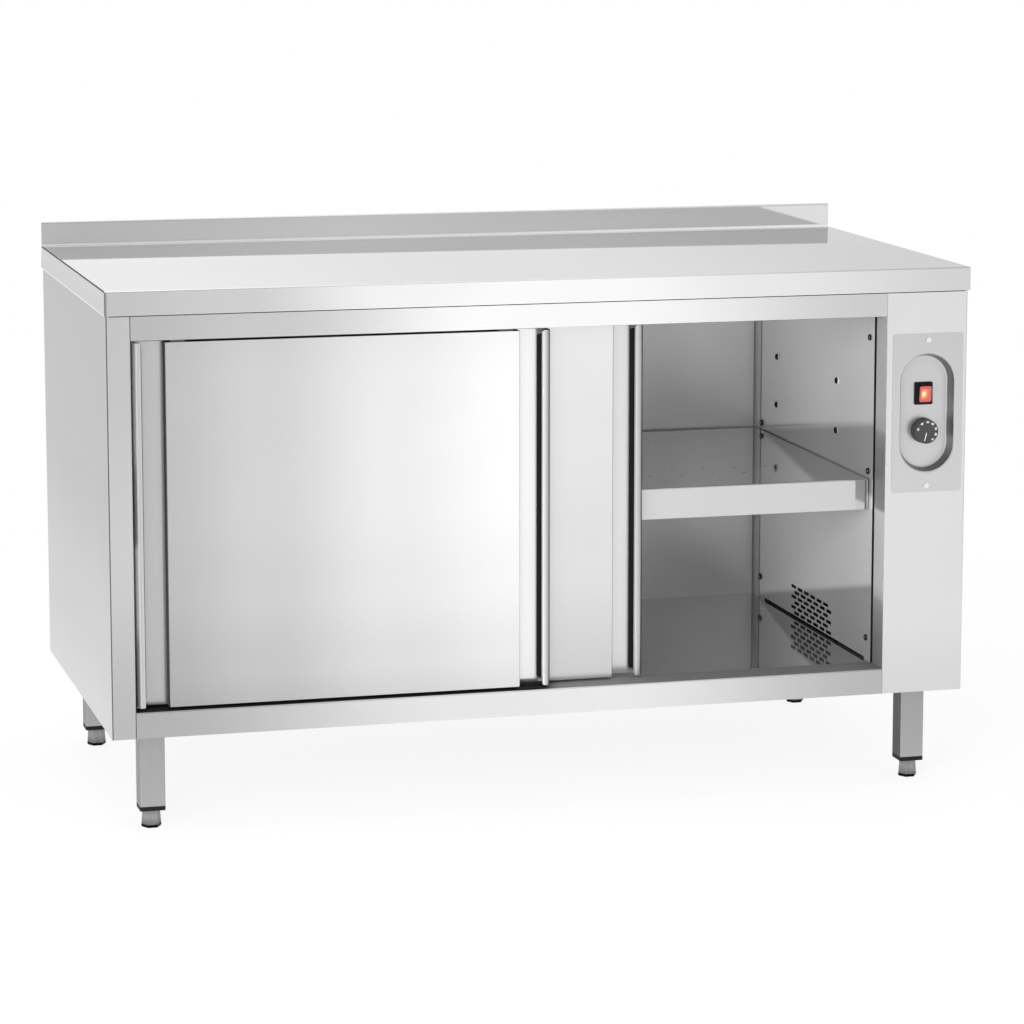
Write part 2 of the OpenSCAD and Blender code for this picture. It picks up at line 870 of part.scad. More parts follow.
module door_core() {
    inner_r = bend_r - door_sheet_t;
    color(wool)
        difference() {
            along_z(door_z0 + door_sheet_t, door_z1 - door_sheet_t)
                round_rect(grip_w + door_sheet_t, door_sheet_t,
                    door_w - grip_w - door_sheet_t, grip_d + door_sheet_t, [inner_r, inner_r, 0, 0]);
            fin_slot();
        }
}

// Black liner in the hollow behind each bar
module grip_liners() {
    liner_r = 5;
    module one()
        along_y(grip_d - grip_liner_t, grip_d)
            round_rect(door_sheet_t, door_z0 + bar_end_l,
                bar_w + grip_liner_show, door_z1 - bar_end_l, [0, liner_r, liner_r, 0]);
    color(black) {
        one();
        translate([door_w, 0, 0])
            mirror([1, 0, 0])
                one();
    }
}

// Angle brackets on the door's top edge, each with a roller's axle
module hangers() {
    color(zinc)
        for (x = hanger_x) {
            box([x, roller_y0, door_z1], [x + hanger_w, hanger_y + hanger_t, door_z1 + hanger_foot_t]);
            box([x, hanger_y, door_z1], [x + hanger_w, hanger_y + hanger_t, hanger_top_z]);
            rod_y(axle_r, x + hanger_w / 2, roller_z, roller_y0 - 0.3 - axle_head_t, hanger_y + hanger_t);
            rod_y(axle_r + 1.5, x + hanger_w / 2, roller_z,
                roller_y0 - 0.3 - axle_head_t, roller_y0 - 0.3);
        }
}

module roller(i) {
    color(black)
        difference() {
            rod_y(roller_r, hanger_x[i] + hanger_w / 2, roller_z, roller_y0, roller_y1);
            rod_y(axle_r + turn_gap, hanger_x[i] + hanger_w / 2, roller_z,
                roller_y0 - over, roller_y1 + over);
        }
}

module in_front_door() {
    translate([front_door_x, front_door_y, 0])
        children();
}

module in_rear_door() {
    translate([rear_door_x, rear_door_y, 0])
        children();
}

// Shelf: a folded pan, upside down, with a deep front lip and two pairs of rows of holes
module shelf() {
    shelf_mid = (shelf_x0 + shelf_x1) / 2;
    holes_each_side = floor((shelf_x1 - shelf_mid - 20) / shelf_hole_pitch);
    module rows(y)
        for (k = [-holes_each_side : holes_each_side], j = [0, 1])
            translate([shelf_mid + k * shelf_hole_pitch, y + j * shelf_row_pitch, shelf_z1 - sheet_t - over])
                cylinder(r = shelf_hole_r, h = sheet_t + 2 * over, $fn = 24);
    color(inner_steel)
        difference() {
            union() {
                along_x(shelf_x0, shelf_x1) {
                    round_rect(shelf_y0, shelf_z1 - shelf_edge_h, shelf_y1, shelf_z1,
                        [0, 0, bend_r, bend_r]);
                    translate([shelf_y0, shelf_z1 - shelf_lip_h])
                        square([sheet_t, shelf_lip_h - bend_r]);
                    translate([shelf_y0, shelf_z1 - shelf_lip_h])
                        square([shelf_lip_return, sheet_t]);
                }
            }
            box([shelf_x0 + sheet_t, shelf_y0 + sheet_t, shelf_z1 - shelf_edge_h - over],
                [shelf_x1 - sheet_t, shelf_y1 - sheet_t, shelf_z1 - sheet_t]);
            rows(shelf_y0 + shelf_front_rows);
            rows(shelf_y1 - shelf_rear_rows);
        }
}

// The four studs that carry the shelf stand in the lowest sockets
module wall_studs() {
    for (y = stud_columns) {
        rod_x(stud_r, y, stud_z, -socket_flange_t - stud_l, -socket_flange_t);
        rod_x(socket_bore_r - turn_gap, y, stud_z, -socket_flange_t - over, socket_l - 2);
    }
}

module wall_sockets() {
    for (y = stud_columns, i = [0 : stud_rows - 1])
        difference() {
            union() {
                rod_x(socket_flange_r, y, stud_z + i * stud_pitch, -socket_flange_t, 0);
                rod_x(socket_r, y, stud_z + i * stud_pitch, -socket_flange_t, socket_l);
            }
            rod_x(socket_bore_r, y, stud_z + i * stud_pitch, -socket_flange_t - over, socket_l + over);
        }
}

module wall_fixings() {
    for (y = wall_screw_y, z = wall_screw_z) {
        rod_x(screw_head_r, y, z, -screw_head_t, 0);
        rod_x(screw_r, y, z, -over, screw_l);
    }
}

// A set of fittings on both side walls
module both_walls() {
    translate([open_x1, 0, 0])
        children();
    translate([open_x0, 0, 0])
        mirror([1, 0, 0])
            children();
}

module shelf_studs() {
    color(steel)
        both_walls()
            wall_studs();
}

module shelf_sockets() {
    color(zinc)
        both_walls()
            wall_sockets();
}

module wall_screws() {
    color(steel)
        both_walls()
            wall_fixings();
}

// Half section of the dish: x is the distance from its spine, y the depth
module dish_half(r, depth, fillet) {
    floor_r = r - depth * tan(dish_slope);
    run = fillet * tan(45 - dish_slope / 2);
    polygon([
        [0, 0], [r, 0],
        [floor_r + run * sin(dish_slope), depth - run * cos(dish_slope)],
        [floor_r - run, depth], [0, depth]
    ]);
    translate([floor_r - run, depth - fillet])
        circle(fillet);
}

// What the rounded lip takes away from the plate, at the dish's edge
module dish_lip() {
    run = dish_lip_r * tan(45 - dish_slope / 2);
    difference() {
        polygon([
            [0, -over], [dish_r + run, -over], [dish_r + run, dish_lip_r],
            [dish_r - run * sin(dish_slope), run * cos(dish_slope)], [0, run * cos(dish_slope)]
        ]);
        translate([dish_r + run, dish_lip_r])
            circle(dish_lip_r);
    }
}

// A half section swept round the dish's stadium
module round_dish() {
    spine = dish_h - dish_w;
    translate([0, 0, -spine / 2])
        linear_extrude(spine) {
            children();
            mirror([1, 0])
                children();
        }
    for (s = [-1, 1])
        translate([0, 0, s * spine / 2])
            rotate([-90, 0, 0])
                rotate_extrude()
                    children();
}

module control_plate() {
    color(steel)
        difference() {
            union() {
                along_y(plate_y0, body_y0)
                    round_rect(plate_x - plate_w / 2, plate_z - plate_h / 2,
                        plate_x + plate_w / 2, plate_z + plate_h / 2, plate_r * [1, 1, 1, 1]);
                translate([plate_x, plate_y0, plate_z])
                    round_dish()
                        dish_half(dish_back_r, dish_d + plate_t, dish_fillet_r + plate_t);
            }
            translate([plate_x, plate_y0, plate_z])
                round_dish() {
                    dish_half(dish_r, dish_d, dish_fillet_r);
                    dish_lip();
                }
            box([plate_x - switch_body_w / 2, dish_y - over, switch_z - switch_body_h / 2],
                [plate_x + switch_body_w / 2, dish_y + plate_t + over, switch_z + switch_body_h / 2]);
            rod_y(shaft_r + 0.5, plate_x, knob_z, dish_y - over, dish_y + plate_t + over);
            for (s = [-1, 1])
                rod_y(screw_r + turn_gap, plate_x, plate_z + s * plate_screw_span / 2,
                    plate_y0 - over, body_y0 + over);
        }
}

module plate_screws() {
    color(steel)
        for (s = [-1, 1])
            difference() {
                union() {
                    rod_y(screw_head_r, plate_x, plate_z + s * plate_screw_span / 2,
                        plate_y0 - screw_head_t, plate_y0);
                    rod_y(screw_r, plate_x, plate_z + s * plate_screw_span / 2,
                        plate_y0 - over, plate_y0 + screw_l);
                }
                translate([plate_x, plate_y0 - screw_head_t, plate_z + s * plate_screw_span / 2])
                    for (a = [20, 110])
                        rotate([0, a, 0])
                            cube([4.4, 2.2, 0.9], center = true);
            }
}

// Switch: flange on the dish's floor, raised frame, body behind, pocket for the rocker
module switch_housing() {
    pocket_x = rocker_w / 2 + pocket_gap;
    pocket_z = rocker_h / 2 + pocket_gap;
    color(black)
        difference() {
            union() {
                along_y(dish_y - switch_flange_t, dish_y)
                    round_rect(plate_x - switch_w / 2, switch_z - switch_h / 2,
                        plate_x + switch_w / 2, switch_z + switch_h / 2, 2 * [1, 1, 1, 1]);
                along_y(dish_y - switch_frame_h, dish_y)
                    round_rect(plate_x - pocket_x - frame_wall, switch_z - pocket_z - frame_wall,
                        plate_x + pocket_x + frame_wall, switch_z + pocket_z + frame_wall, [1, 1, 1, 1]);
                box([plate_x - switch_body_w / 2, dish_y - over, switch_z - switch_body_h / 2],
                    [plate_x + switch_body_w / 2, dish_y + switch_body_l, switch_z + switch_body_h / 2]);
            }
            box([plate_x - pocket_x, dish_y - switch_frame_h - over, switch_z - pocket_z],
                [plate_x + pocket_x, dish_y + pocket_d, switch_z + pocket_z]);
            rod_x(rocker_pin_r + turn_gap, rocker_y, switch_z,
                plate_x - pocket_x - rocker_pin_l, plate_x + pocket_x + rocker_pin_l);
        }
}

// Rocker with a shallow hollow in its face, tilted about its pin
module switch_rocker() {
    half = rocker_h / 2;
    pin = rocker_w / 2 + pocket_gap + rocker_pin_l - 0.2;
    color([0.75, 0.12, 0.08])
        translate([plate_x, rocker_y, switch_z])
            rotate([rocker_tilt, 0, 0]) {
                along_x(-rocker_w / 2, rocker_w / 2)
                    polygon([
                        [-rocker_face, half - 0.9], [1.1 - rocker_face, 0], [-rocker_face, 0.9 - half],
                        [-1, -half], [4, 4 - half], [4, half - 4], [-1, half]
                    ]);
                rod_x(rocker_pin_r, 0, 0, -pin, pin);
            }
}

module thermostat_body() {
    color(zinc)
        difference() {
            box([plate_x - thermostat_w / 2, dish_y + plate_t, knob_z - thermostat_w / 2],
                [plate_x + thermostat_w / 2, dish_y + plate_t + thermostat_l, knob_z + thermostat_w / 2]);
            rod_y(shaft_r + turn_gap, plate_x, knob_z, dish_y, dish_y + plate_t + shaft_depth);
        }
}

module thermostat_shaft() {
    color(zinc)
        rod_y(shaft_r, plate_x, knob_z, dish_y - knob_h + knob_web_t,
            dish_y + plate_t + shaft_depth - 0.5);
}

// Knob: a skirt, a slightly conical grip with a rounded rim, and a bore for the shaft
module thermostat_knob() {
    rim_r = 1.5;
    skirt_h = 2.5;
    color(black)
        translate([plate_x, dish_y - knob_h, knob_z])
            rotate([-90, 0, 0])
                difference() {
                    rotate_extrude()
                        difference() {
                            square([knob_r, knob_h - knob_gap]);
                            translate([knob_r - 0.8, -over])
                                square([over + 0.8, knob_h - knob_gap - skirt_h + over]);
                            translate([knob_r - 0.8, 0])
                                mirror([1, 0])
                                    corner_cut(rim_r);
                        }
                    translate([0, 0, knob_web_t])
                        cylinder(r = shaft_r + turn_gap, h = knob_h);
                }
}

// Sheet duct of the air heater, open towards the grille
module fan_housing() {
    intake_h = 24;
    color(zinc)
        difference() {
            union() {
                box([liner_x1, duct_y0, duct_z0], [duct_x1, duct_y1, duct_z1]);
                box([liner_x1, duct_y0, duct_z1], [liner_x1 + duct_t, duct_y1, duct_z1 + duct_flange]);
            }
            box([liner_x1 - over, duct_y0 + duct_t, duct_z0 + duct_t],
                [duct_x1 - duct_t, duct_y1 - duct_t, duct_z1 - duct_t]);
            box([duct_x1 - 2 * duct_t, duct_y0 + 10, duct_z1 - duct_t - intake_h],
                [duct_x1 + over, duct_y1 - 10, duct_z1 - duct_t]);
            rod_y(fan_shaft_r + turn_gap, fan_x, fan_z, duct_y0 - over, duct_y1 + over);
            rod_y(element_r + turn_gap, element_x, fan_z - element_pitch,
                duct_y0 - over, duct_y0 + duct_t + over);
            rod_y(element_r + turn_gap, element_x, fan_z + element_pitch,
                duct_y1 - duct_t - over, duct_y1 + over);
        }
}

// Shaded-pole motor: iron stack with a coil below it
module fan_motor() {
    motor_w = 56;
    stack_l = 28;
    color(zinc)
        difference() {
            union() {
                box([fan_x - motor_w / 2, duct_y1 + 6, fan_z - 22],
                    [fan_x + motor_w / 2, duct_y1 + 6 + stack_l, fan_z + 22]);
                box([fan_x - 18, duct_y1, fan_z - 12], [fan_x + 18, duct_y1 + stack_l + 14, fan_z + 12]);
            }
            rod_y(fan_shaft_r + turn_gap, fan_x, fan_z, duct_y1 - over, duct_y1 + 32);
        }
}

// Cross-flow wheel: thin blades between discs on a shaft
module fan_wheel() {
    blade_t = 0.8;
    blade_w = 8;
    disc_t = 1.5;
    color(zinc) {
        rod_y(fan_shaft_r, fan_x, fan_z, duct_y0 - 4, duct_y1 + 30);
        for (y = [fan_y0, (fan_y0 + fan_y1 - disc_t) / 2, fan_y1 - disc_t])
            rod_y(fan_r, fan_x, fan_z, y, y + disc_t);
        translate([fan_x, 0, fan_z])
            for (i = [0 : fan_blades - 1])
                rotate([0, i * 360 / fan_blades, 0])
                    translate([fan_r - 5.5, fan_y0, 0])
                        rotate([0, 35, 0])
                            translate([-blade_w / 2, 0, -blade_t / 2])
                                cube([blade_w, fan_l, blade_t]);
    }
}

// Heating element: three runs joined by two bends, in front of the fan wheel
module heating_element() {
    low = fan_z - element_pitch;
    high = fan_z + element_pitch;
    bend_y0 = duct_y0 + 10 + element_bend_y;
    bend_y1 = duct_y1 - 10 - element_bend_y;
    module bend(y, z, turn)
        translate([element_x, y, z])
            rotate([0, 90, 0])
                rotate([0, 0, turn])
                    rotate_extrude(angle = 180)
                        translate([element_pitch / 2, 0])
                            circle(element_r, $fn = 24);
    color([0.35, 0.34, 0.33]) {
        rod_y(element_r, element_x, low, duct_y0 - 12, bend_y1);
        bend(bend_y1, (low + fan_z) / 2, 0);
        rod_y(element_r, element_x, fan_z, bend_y0, bend_y1);
        bend(bend_y0, (high + fan_z) / 2, 180);
        rod_y(element_r, element_x, high, bend_y0, duct_y1 + 12);
    }
}

// Terminal block for the mains cable
module terminal_block() {
    poles = 3;
    pole_w = 12;
    block_x = body_x1 - terminal_inset;
    block_y = gland_y - terminal_gap;
    color([0.9, 0.9, 0.86])
        for (i = [0 : poles - 1])
            translate([block_x + i * pole_w, block_y, body_z0 + sheet_t])
                difference() {
                    cube([pole_w, 22, 18]);
                    rod_y(3, pole_w / 2, 7, -over, 22 + over);
                    translate([pole_w / 2, 11, 10])
                        cylinder(r = 2.5, h = 10);
                }
}

// Gland in the bottom panel, where a mains cable goes in
module cable_gland() {
    gland_z1 = body_z0 + sheet_t + gland_nut_l + 6;
    color(black)
        translate([gland_x, gland_y, 0])
            difference() {
                union() {
                    translate([0, 0, body_z0 - gland_hex_l - gland_dome_l])
                        cylinder(r = gland_thread_r + 1, h = gland_dome_l);
                    translate([0, 0, body_z0 - gland_hex_l])
                        cylinder(r = gland_thread_r + 4, h = gland_hex_l, $fn = 6);
                    translate([0, 0, body_z0 - gland_hex_l])
                        cylinder(r = gland_thread_r, h = gland_z1 - body_z0 + gland_hex_l);
                    translate([0, 0, body_z0 + sheet_t])
                        cylinder(r = gland_thread_r + 4, h = gland_nut_l, $fn = 6);
                }
                translate([0, 0, body_z0 - gland_hex_l - gland_dome_l - over])
                    cylinder(r = gland_bore_r, h = 60);
            }
}

// Places something at the middle of a leg: side is -1 or 1, end is 0 in front and 1 behind
module at_leg(side, end) {
    translate([side * leg_x, leg_y[end], 0])
        children();
}

module leg() {
    half = leg_w / 2;
    inner = half - leg_wall;
    color(steel)
        along_z(leg_z0, body_z0)
            difference() {
                round_rect(-half, -half, half, half, leg_r * [1, 1, 1, 1]);
                round_rect(-inner, -inner, inner, inner, (leg_r - leg_wall) * [1, 1, 1, 1]);
            }
}

// Black cap under a leg, plugged into its tube and threaded for the foot
module leg_cap() {
    half = leg_w / 2;
    inner = half - leg_wall;
    difference() {
        union() {
            along_z(foot_h, leg_z0)
                round_rect(-half, -half, half, half, leg_r * [1, 1, 1, 1]);
            along_z(leg_z0, leg_z0 + plug_h)
                round_rect(-inner, -inner, inner, inner, (leg_r - leg_wall) * [1, 1, 1, 1]);
        }
        translate([0, 0, foot_h - over])
            cylinder(r = stem_r + turn_gap, h = cap_t + plug_h + 2 * over);
    }
}

module leg_caps() {
    color(black)
        for (side = [-1, 1], end = [0, 1])
            at_leg(side, end)
                leg_cap();
}

// Foot: six-sided cup that widens downwards, sole below and stem above
module foot() {
    sole_r = foot_r - 1.5;
    color(zinc) {
        cylinder(r1 = sole_r, r2 = foot_r, h = sole_h / 2, $fn = 6);
        translate([0, 0, sole_h / 2])
            cylinder(r = foot_r, h = sole_h / 2, $fn = 6);
        translate([0, 0, sole_h])
            cylinder(r1 = foot_r - 0.5, r2 = foot_r - 2, h = foot_h - slide_gap - sole_h, $fn = 6);
        translate([0, 0, foot_h / 2])
            cylinder(r = stem_r, h = stem_top_z - foot_h / 2);
    }
}

worktop();
worktop_core();
left_side_panel();
right_side_panel();
rear_panel();
bottom_panel();
top_rail();
bottom_rail();
inner_left_wall();
inner_right_wall();
inner_back_wall();
inner_ceiling();
inner_floor();
insulation_slabs();
door_track();
floor_guide();
in_front_door() door_panel();  // front_door_panel
in_front_door() left_grip();  // front_door_left_grip
in_front_door() right_grip();  // front_door_right_grip
in_front_door() door_back();  // front_door_back
in_front_door() door_core();  // front_door_core
in_front_door() grip_liners();  // front_door_grip_liners
in_front_door() hangers();  // front_door_hangers
in_front_door() roller(0);  // front_door_left_roller
in_front_door() roller(1);  // front_door_right_roller
in_rear_door() door_panel();  // rear_door_panel
in_rear_door() left_grip();  // rear_door_left_grip
in_rear_door() right_grip();  // rear_door_right_grip
in_rear_door() door_back();  // rear_door_back
in_rear_door() door_core();  // rear_door_core
in_rear_door() grip_liners();  // rear_door_grip_liners
in_rear_door() hangers();  // rear_door_hangers
in_rear_door() roller(0);  // rear_door_left_roller
in_rear_door() roller(1);  // rear_door_right_roller
shelf();
shelf_studs();
shelf_sockets();
wall_screws();
control_plate();
plate_screws();
switch_housing();
switch_rocker();
thermostat_body();
thermostat_shaft();
thermostat_knob();
fan_housing();
fan_motor();
fan_wheel();
heating_element();
terminal_block();
cable_gland();
at_leg(-1, 0) leg();  // leg_front_left
at_leg(1, 0) leg();  // leg_front_right
at_leg(-1, 1) leg();  // leg_rear_left
at_leg(1, 1) leg();  // leg_rear_right
leg_caps();
at_leg(-1, 0) foot();  // foot_front_left
at_leg(1, 0) foot();  // foot_front_right
at_leg(-1, 1) foot();  // foot_rear_left
at_leg(1, 1) foot();  // foot_rear_right
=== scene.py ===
import math

import bmesh
import bpy
from mathutils import Matrix, Vector


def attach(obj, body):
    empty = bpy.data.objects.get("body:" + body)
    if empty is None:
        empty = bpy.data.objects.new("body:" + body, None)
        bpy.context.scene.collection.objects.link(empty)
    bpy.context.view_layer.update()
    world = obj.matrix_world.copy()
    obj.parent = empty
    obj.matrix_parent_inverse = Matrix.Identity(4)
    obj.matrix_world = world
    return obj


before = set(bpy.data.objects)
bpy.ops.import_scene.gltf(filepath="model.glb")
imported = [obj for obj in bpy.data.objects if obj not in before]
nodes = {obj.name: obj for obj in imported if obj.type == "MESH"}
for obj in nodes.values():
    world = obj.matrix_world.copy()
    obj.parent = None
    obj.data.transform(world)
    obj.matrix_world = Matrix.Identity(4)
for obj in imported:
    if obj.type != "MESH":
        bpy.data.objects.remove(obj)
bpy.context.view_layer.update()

scene = bpy.context.scene
scene.view_settings.view_transform = "Standard"

# ---------------------------------------------------------------- places and sizes, in metres
WALLS = (("right", 1, 0.560), ("left", -1, -0.660))     # name, which way it lies, X of its inner face
SCREW_Y = (("front", -0.269), ("rear", 0.278))
SCREW_Z = (0.233, 0.510, 0.730)
SOCKET_Y = (("front", -0.112), ("rear", 0.197))
SOCKET_Z = (0.470, 0.554, 0.638)
WASHER = (0.0041, 0.0052, 0.0030)                       # rings: inner and outer radius, thickness
SOCKET_RIM = (0.0031, 0.0053, 0.0032)
SCREW_CENTRE = (0.0024, 0.0008)                         # a dome's radius and height
SCREW_OUT = 0.002                                       # how far it stands out from the wall

KNOB = (0.6305, -0.3472, 0.5835)                        # middle of the knob's face
NUMBER_FIRST, NUMBER_STEP = 30, 10
NUMBER_ANGLES = (164, 124, 86, 53, 18, -17, -50)        # degrees, from the right and upwards
NUMBER_R, NUMBER_SIZE = 0.0156, 0.0045                  # distance from the middle, size of the figures
NUMBER_HALF, NUMBER_BOLD = 0.00008, 0.00012             # half their thickness, how far strokes are widened
POINTER_ANGLE, POINTER_R = -105, 0.0085
POINTER_PLATE = (0.0135, 0.0011, 0.0002, 0.0004, 0.0001)  # plates: width, height, thickness, corner, bevel

ROCKER_TILT = 6                                         # degrees
ROCKER_FACE, ROCKER_PLATE = (0.6301, -0.3389, 0.644), (0.0205, 0.0262, 0.0010, 0.0030, 0.0005)
ROCKER_LENS, LENS_PLATE = (0.6301, -0.3398, 0.6439), (0.0150, 0.0190, 0.0006, 0.0022, 0.0004)
# painted shade: a thin black strip under the worktop's front edge, for the shadow gap between worktop and
# casing
SHADOW_STRIP, SHADOW_STRIP_PLATE = (0, -0.3460, 0.8111), (1.386, 0.0016, 0.0010, 0.0004, 0.0003)

LEFT_BAR, RIGHT_BAR, REAR_BAR = -0.656, -0.0095, 0.1515  # X where the painted highlight and shade of a grip bar begin
BARS = {                                                # from X, to X, look
    "front_door_left_grip": (-0.657, -0.6424, "bar_left"),
    "front_door_right_grip": (-0.0096, 0.005, "bar_right"),
    "rear_door_right_grip": (0.1514, 0.166, "bar_rear"),
}
FACING = 0.9                                            # beyond this, a face looks along an axis
WORKTOP_Z = 0.8505                                      # just above the worktop
SPLASH_Z = 0.852                                        # the splashback's face begins above this
BEND_Y, BEND_Z = 0.33, 0.856                            # its bend lies behind and below these
MOUTH_Y = -0.28                                         # the opening's edges lie in front of this
JAMB_X = 0.6                                            # the right jamb lies left of this
FLANGE_Y = 0.312                                        # the back wall's flanges end in front of this
DISH = ((0.58, 0.68), (-0.345, -0.329), (0.5, 0.73))    # ends of the control plate's dish in X, Y and Z, whose walls take painted shade

# ---------------------------------------------------------------- camera, solved from the photo
PHOTO = 1024                                            # its width and height in pixels
FOCAL = 3780.7                                          # focal length in pixels
SENSOR = 36                                             # millimetres
CENTRE = (580, 435)                                     # the pixel on the lens's axis
CAMERA_AT = (-1.5516, -6.0018, 1.5094)
YAW, PITCH, ROLL = 0.2757, -0.1533, 0.0025              # radians


def add_camera():
    forward = Vector((math.sin(YAW) * math.cos(PITCH), math.cos(YAW) * math.cos(PITCH), math.sin(PITCH)))
    level = Vector((math.cos(YAW), -math.sin(YAW), 0))
    upright = level.cross(forward)
    right = level * math.cos(ROLL) + upright * math.sin(ROLL)
    up = upright * math.cos(ROLL) - level * math.sin(ROLL)
    data = bpy.data.cameras.new("camera")
    data.sensor_width = SENSOR
    data.lens = FOCAL / PHOTO * SENSOR
    data.shift_x = (PHOTO / 2 - CENTRE[0]) / PHOTO
    data.shift_y = (CENTRE[1] - PHOTO / 2) / PHOTO
    data.clip_start, data.clip_end = 0.1, 60
    camera = bpy.data.objects.new("camera", data)
    scene.collection.objects.link(camera)
    turn = Matrix((right, up, -forward)).transposed()
    camera.matrix_world = Matrix.Translation(CAMERA_AT) @ turn.to_4x4()
    scene.camera = camera


add_camera()


# ---------------------------------------------------------------- node helpers
class Graph:
    """A node tree, with short calls for the nodes used here."""

    def __init__(self, nt):
        self.nt = nt

    def node(self, kind, **values):
        n = self.nt.nodes.new(kind)
        for key, value in values.items():
            setattr(n, key, value)
        return n

    def link(self, a, b):
        self.nt.links.new(a, b)

    def fill(self, socket, value):
        """A socket takes a link, a number or a colour."""
        if isinstance(value, bpy.types.NodeSocket):
            self.link(value, socket)
        elif isinstance(value, (int, float)):
            socket.default_value = value
        else:
            socket.default_value = (*value, 1)

    def math(self, op, a, b=0.0):
        n = self.node("ShaderNodeMath", operation=op)
        self.fill(n.inputs[0], a)
        self.fill(n.inputs[1], b)
        return n.outputs["Value"]

    def remap(self, value, a, b, c, d, interpolation="LINEAR"):
        """From a to b becomes from c to d, and stays at c and d outside."""
        n = self.node("ShaderNodeMapRange", interpolation_type=interpolation)
        for i, v in enumerate((a, b, c, d)):
            n.inputs[i + 1].default_value = v
        self.link(value, n.inputs["Value"])
        return n.outputs["Result"]

    def split(self, vector):
        n = self.node("ShaderNodeSeparateXYZ")
        self.link(vector, n.inputs["Vector"])
        return n.outputs

    def either(self, fac, first, second):
        """The first shader at 0, the second at 1."""
        n = self.node("ShaderNodeMixShader")
        self.link(fac, n.inputs["Fac"])
        self.link(first, n.inputs[1])
        self.link(second, n.inputs[2])
        return n.outputs["Shader"]


class Material(Graph):
    def __init__(self, name):
        self.mat = bpy.data.materials.new(name)
        self.mat.use_nodes = True
        super().__init__(self.mat.node_tree)
        self.bsdf = self.nt.nodes["Principled BSDF"]

    def set(self, **values):
        for key, value in values.items():
            self.bsdf.inputs[key.replace("_", " ")].default_value = value

    def shade(self, name, value):
        self.link(value, self.bsdf.inputs[name])

    def coords(self, scale=(1, 1, 1), offset=(0, 0, 0)):
        c = self.node("ShaderNodeTexCoord")
        m = self.node("ShaderNodeMapping")
        m.inputs["Scale"].default_value = scale
        m.inputs["Location"].default_value = offset
        self.link(c.outputs["Object"], m.inputs["Vector"])
        return m.outputs["Vector"]

    def noise(self, scale, detail=3, rough=0.6):
        n = self.node("ShaderNodeTexNoise")
        n.inputs["Scale"].default_value = 1.0
        n.inputs["Detail"].default_value = detail
        n.inputs["Roughness"].default_value = rough
        self.link(self.coords(scale), n.inputs["Vector"])
        return n.outputs["Fac"]

    def vary(self, noise, low, high):
        """From low to high with a noise, which seldom leaves 0.3 to 0.7."""
        return self.remap(noise, 0.3, 0.7, low, high)

    def ramp(self, fac, stops, interpolation="LINEAR"):
        n = self.node("ShaderNodeValToRGB")
        n.color_ramp.interpolation = interpolation
        elements = n.color_ramp.elements
        while len(elements) < len(stops):
            elements.new(0.5)
        for element, (position, color) in zip(elements, stops):
            element.position = position
            element.color = (*color, 1)
        self.link(fac, n.inputs["Fac"])
        return n.outputs["Color"]

    def gradient(self, value, stops, color):
        """color(level) over value, eased through stops: [(value, level), ...]."""
        low, high = stops[0][0], stops[-1][0]
        fac = self.remap(value, low, high, 0, 1)
        return self.ramp(fac, [((at - low) / (high - low), color(level)) for at, level in stops], "EASE")

    def mix(self, fac, a, b, blend="MIX"):
        n = self.node("ShaderNodeMix", data_type="RGBA", blend_type=blend)
        self.fill(n.inputs["Factor"], fac)
        self.fill(n.inputs["A"], a)
        self.fill(n.inputs["B"], b)
        return n.outputs["Result"]

    def bump(self, height, strength, distance, normal=None):
        n = self.node("ShaderNodeBump")
        n.inputs["Strength"].default_value = strength
        n.inputs["Distance"].default_value = distance
        self.link(height, n.inputs["Height"])
        if normal is not None:
            self.link(normal, n.inputs["Normal"])
        self.shade("Normal", n.outputs["Normal"])
        return n.outputs["Normal"]


def grey(v):
    """A linear grey for an sRGB value from 0 to 255."""
    c = v / 255
    c = c / 12.92 if c <= 0.04045 else ((c + 0.055) / 1.055) ** 2.4
    return (c, c, c * 1.004)


def even(v):
    """The same value in all three channels."""
    return (v, v, v)


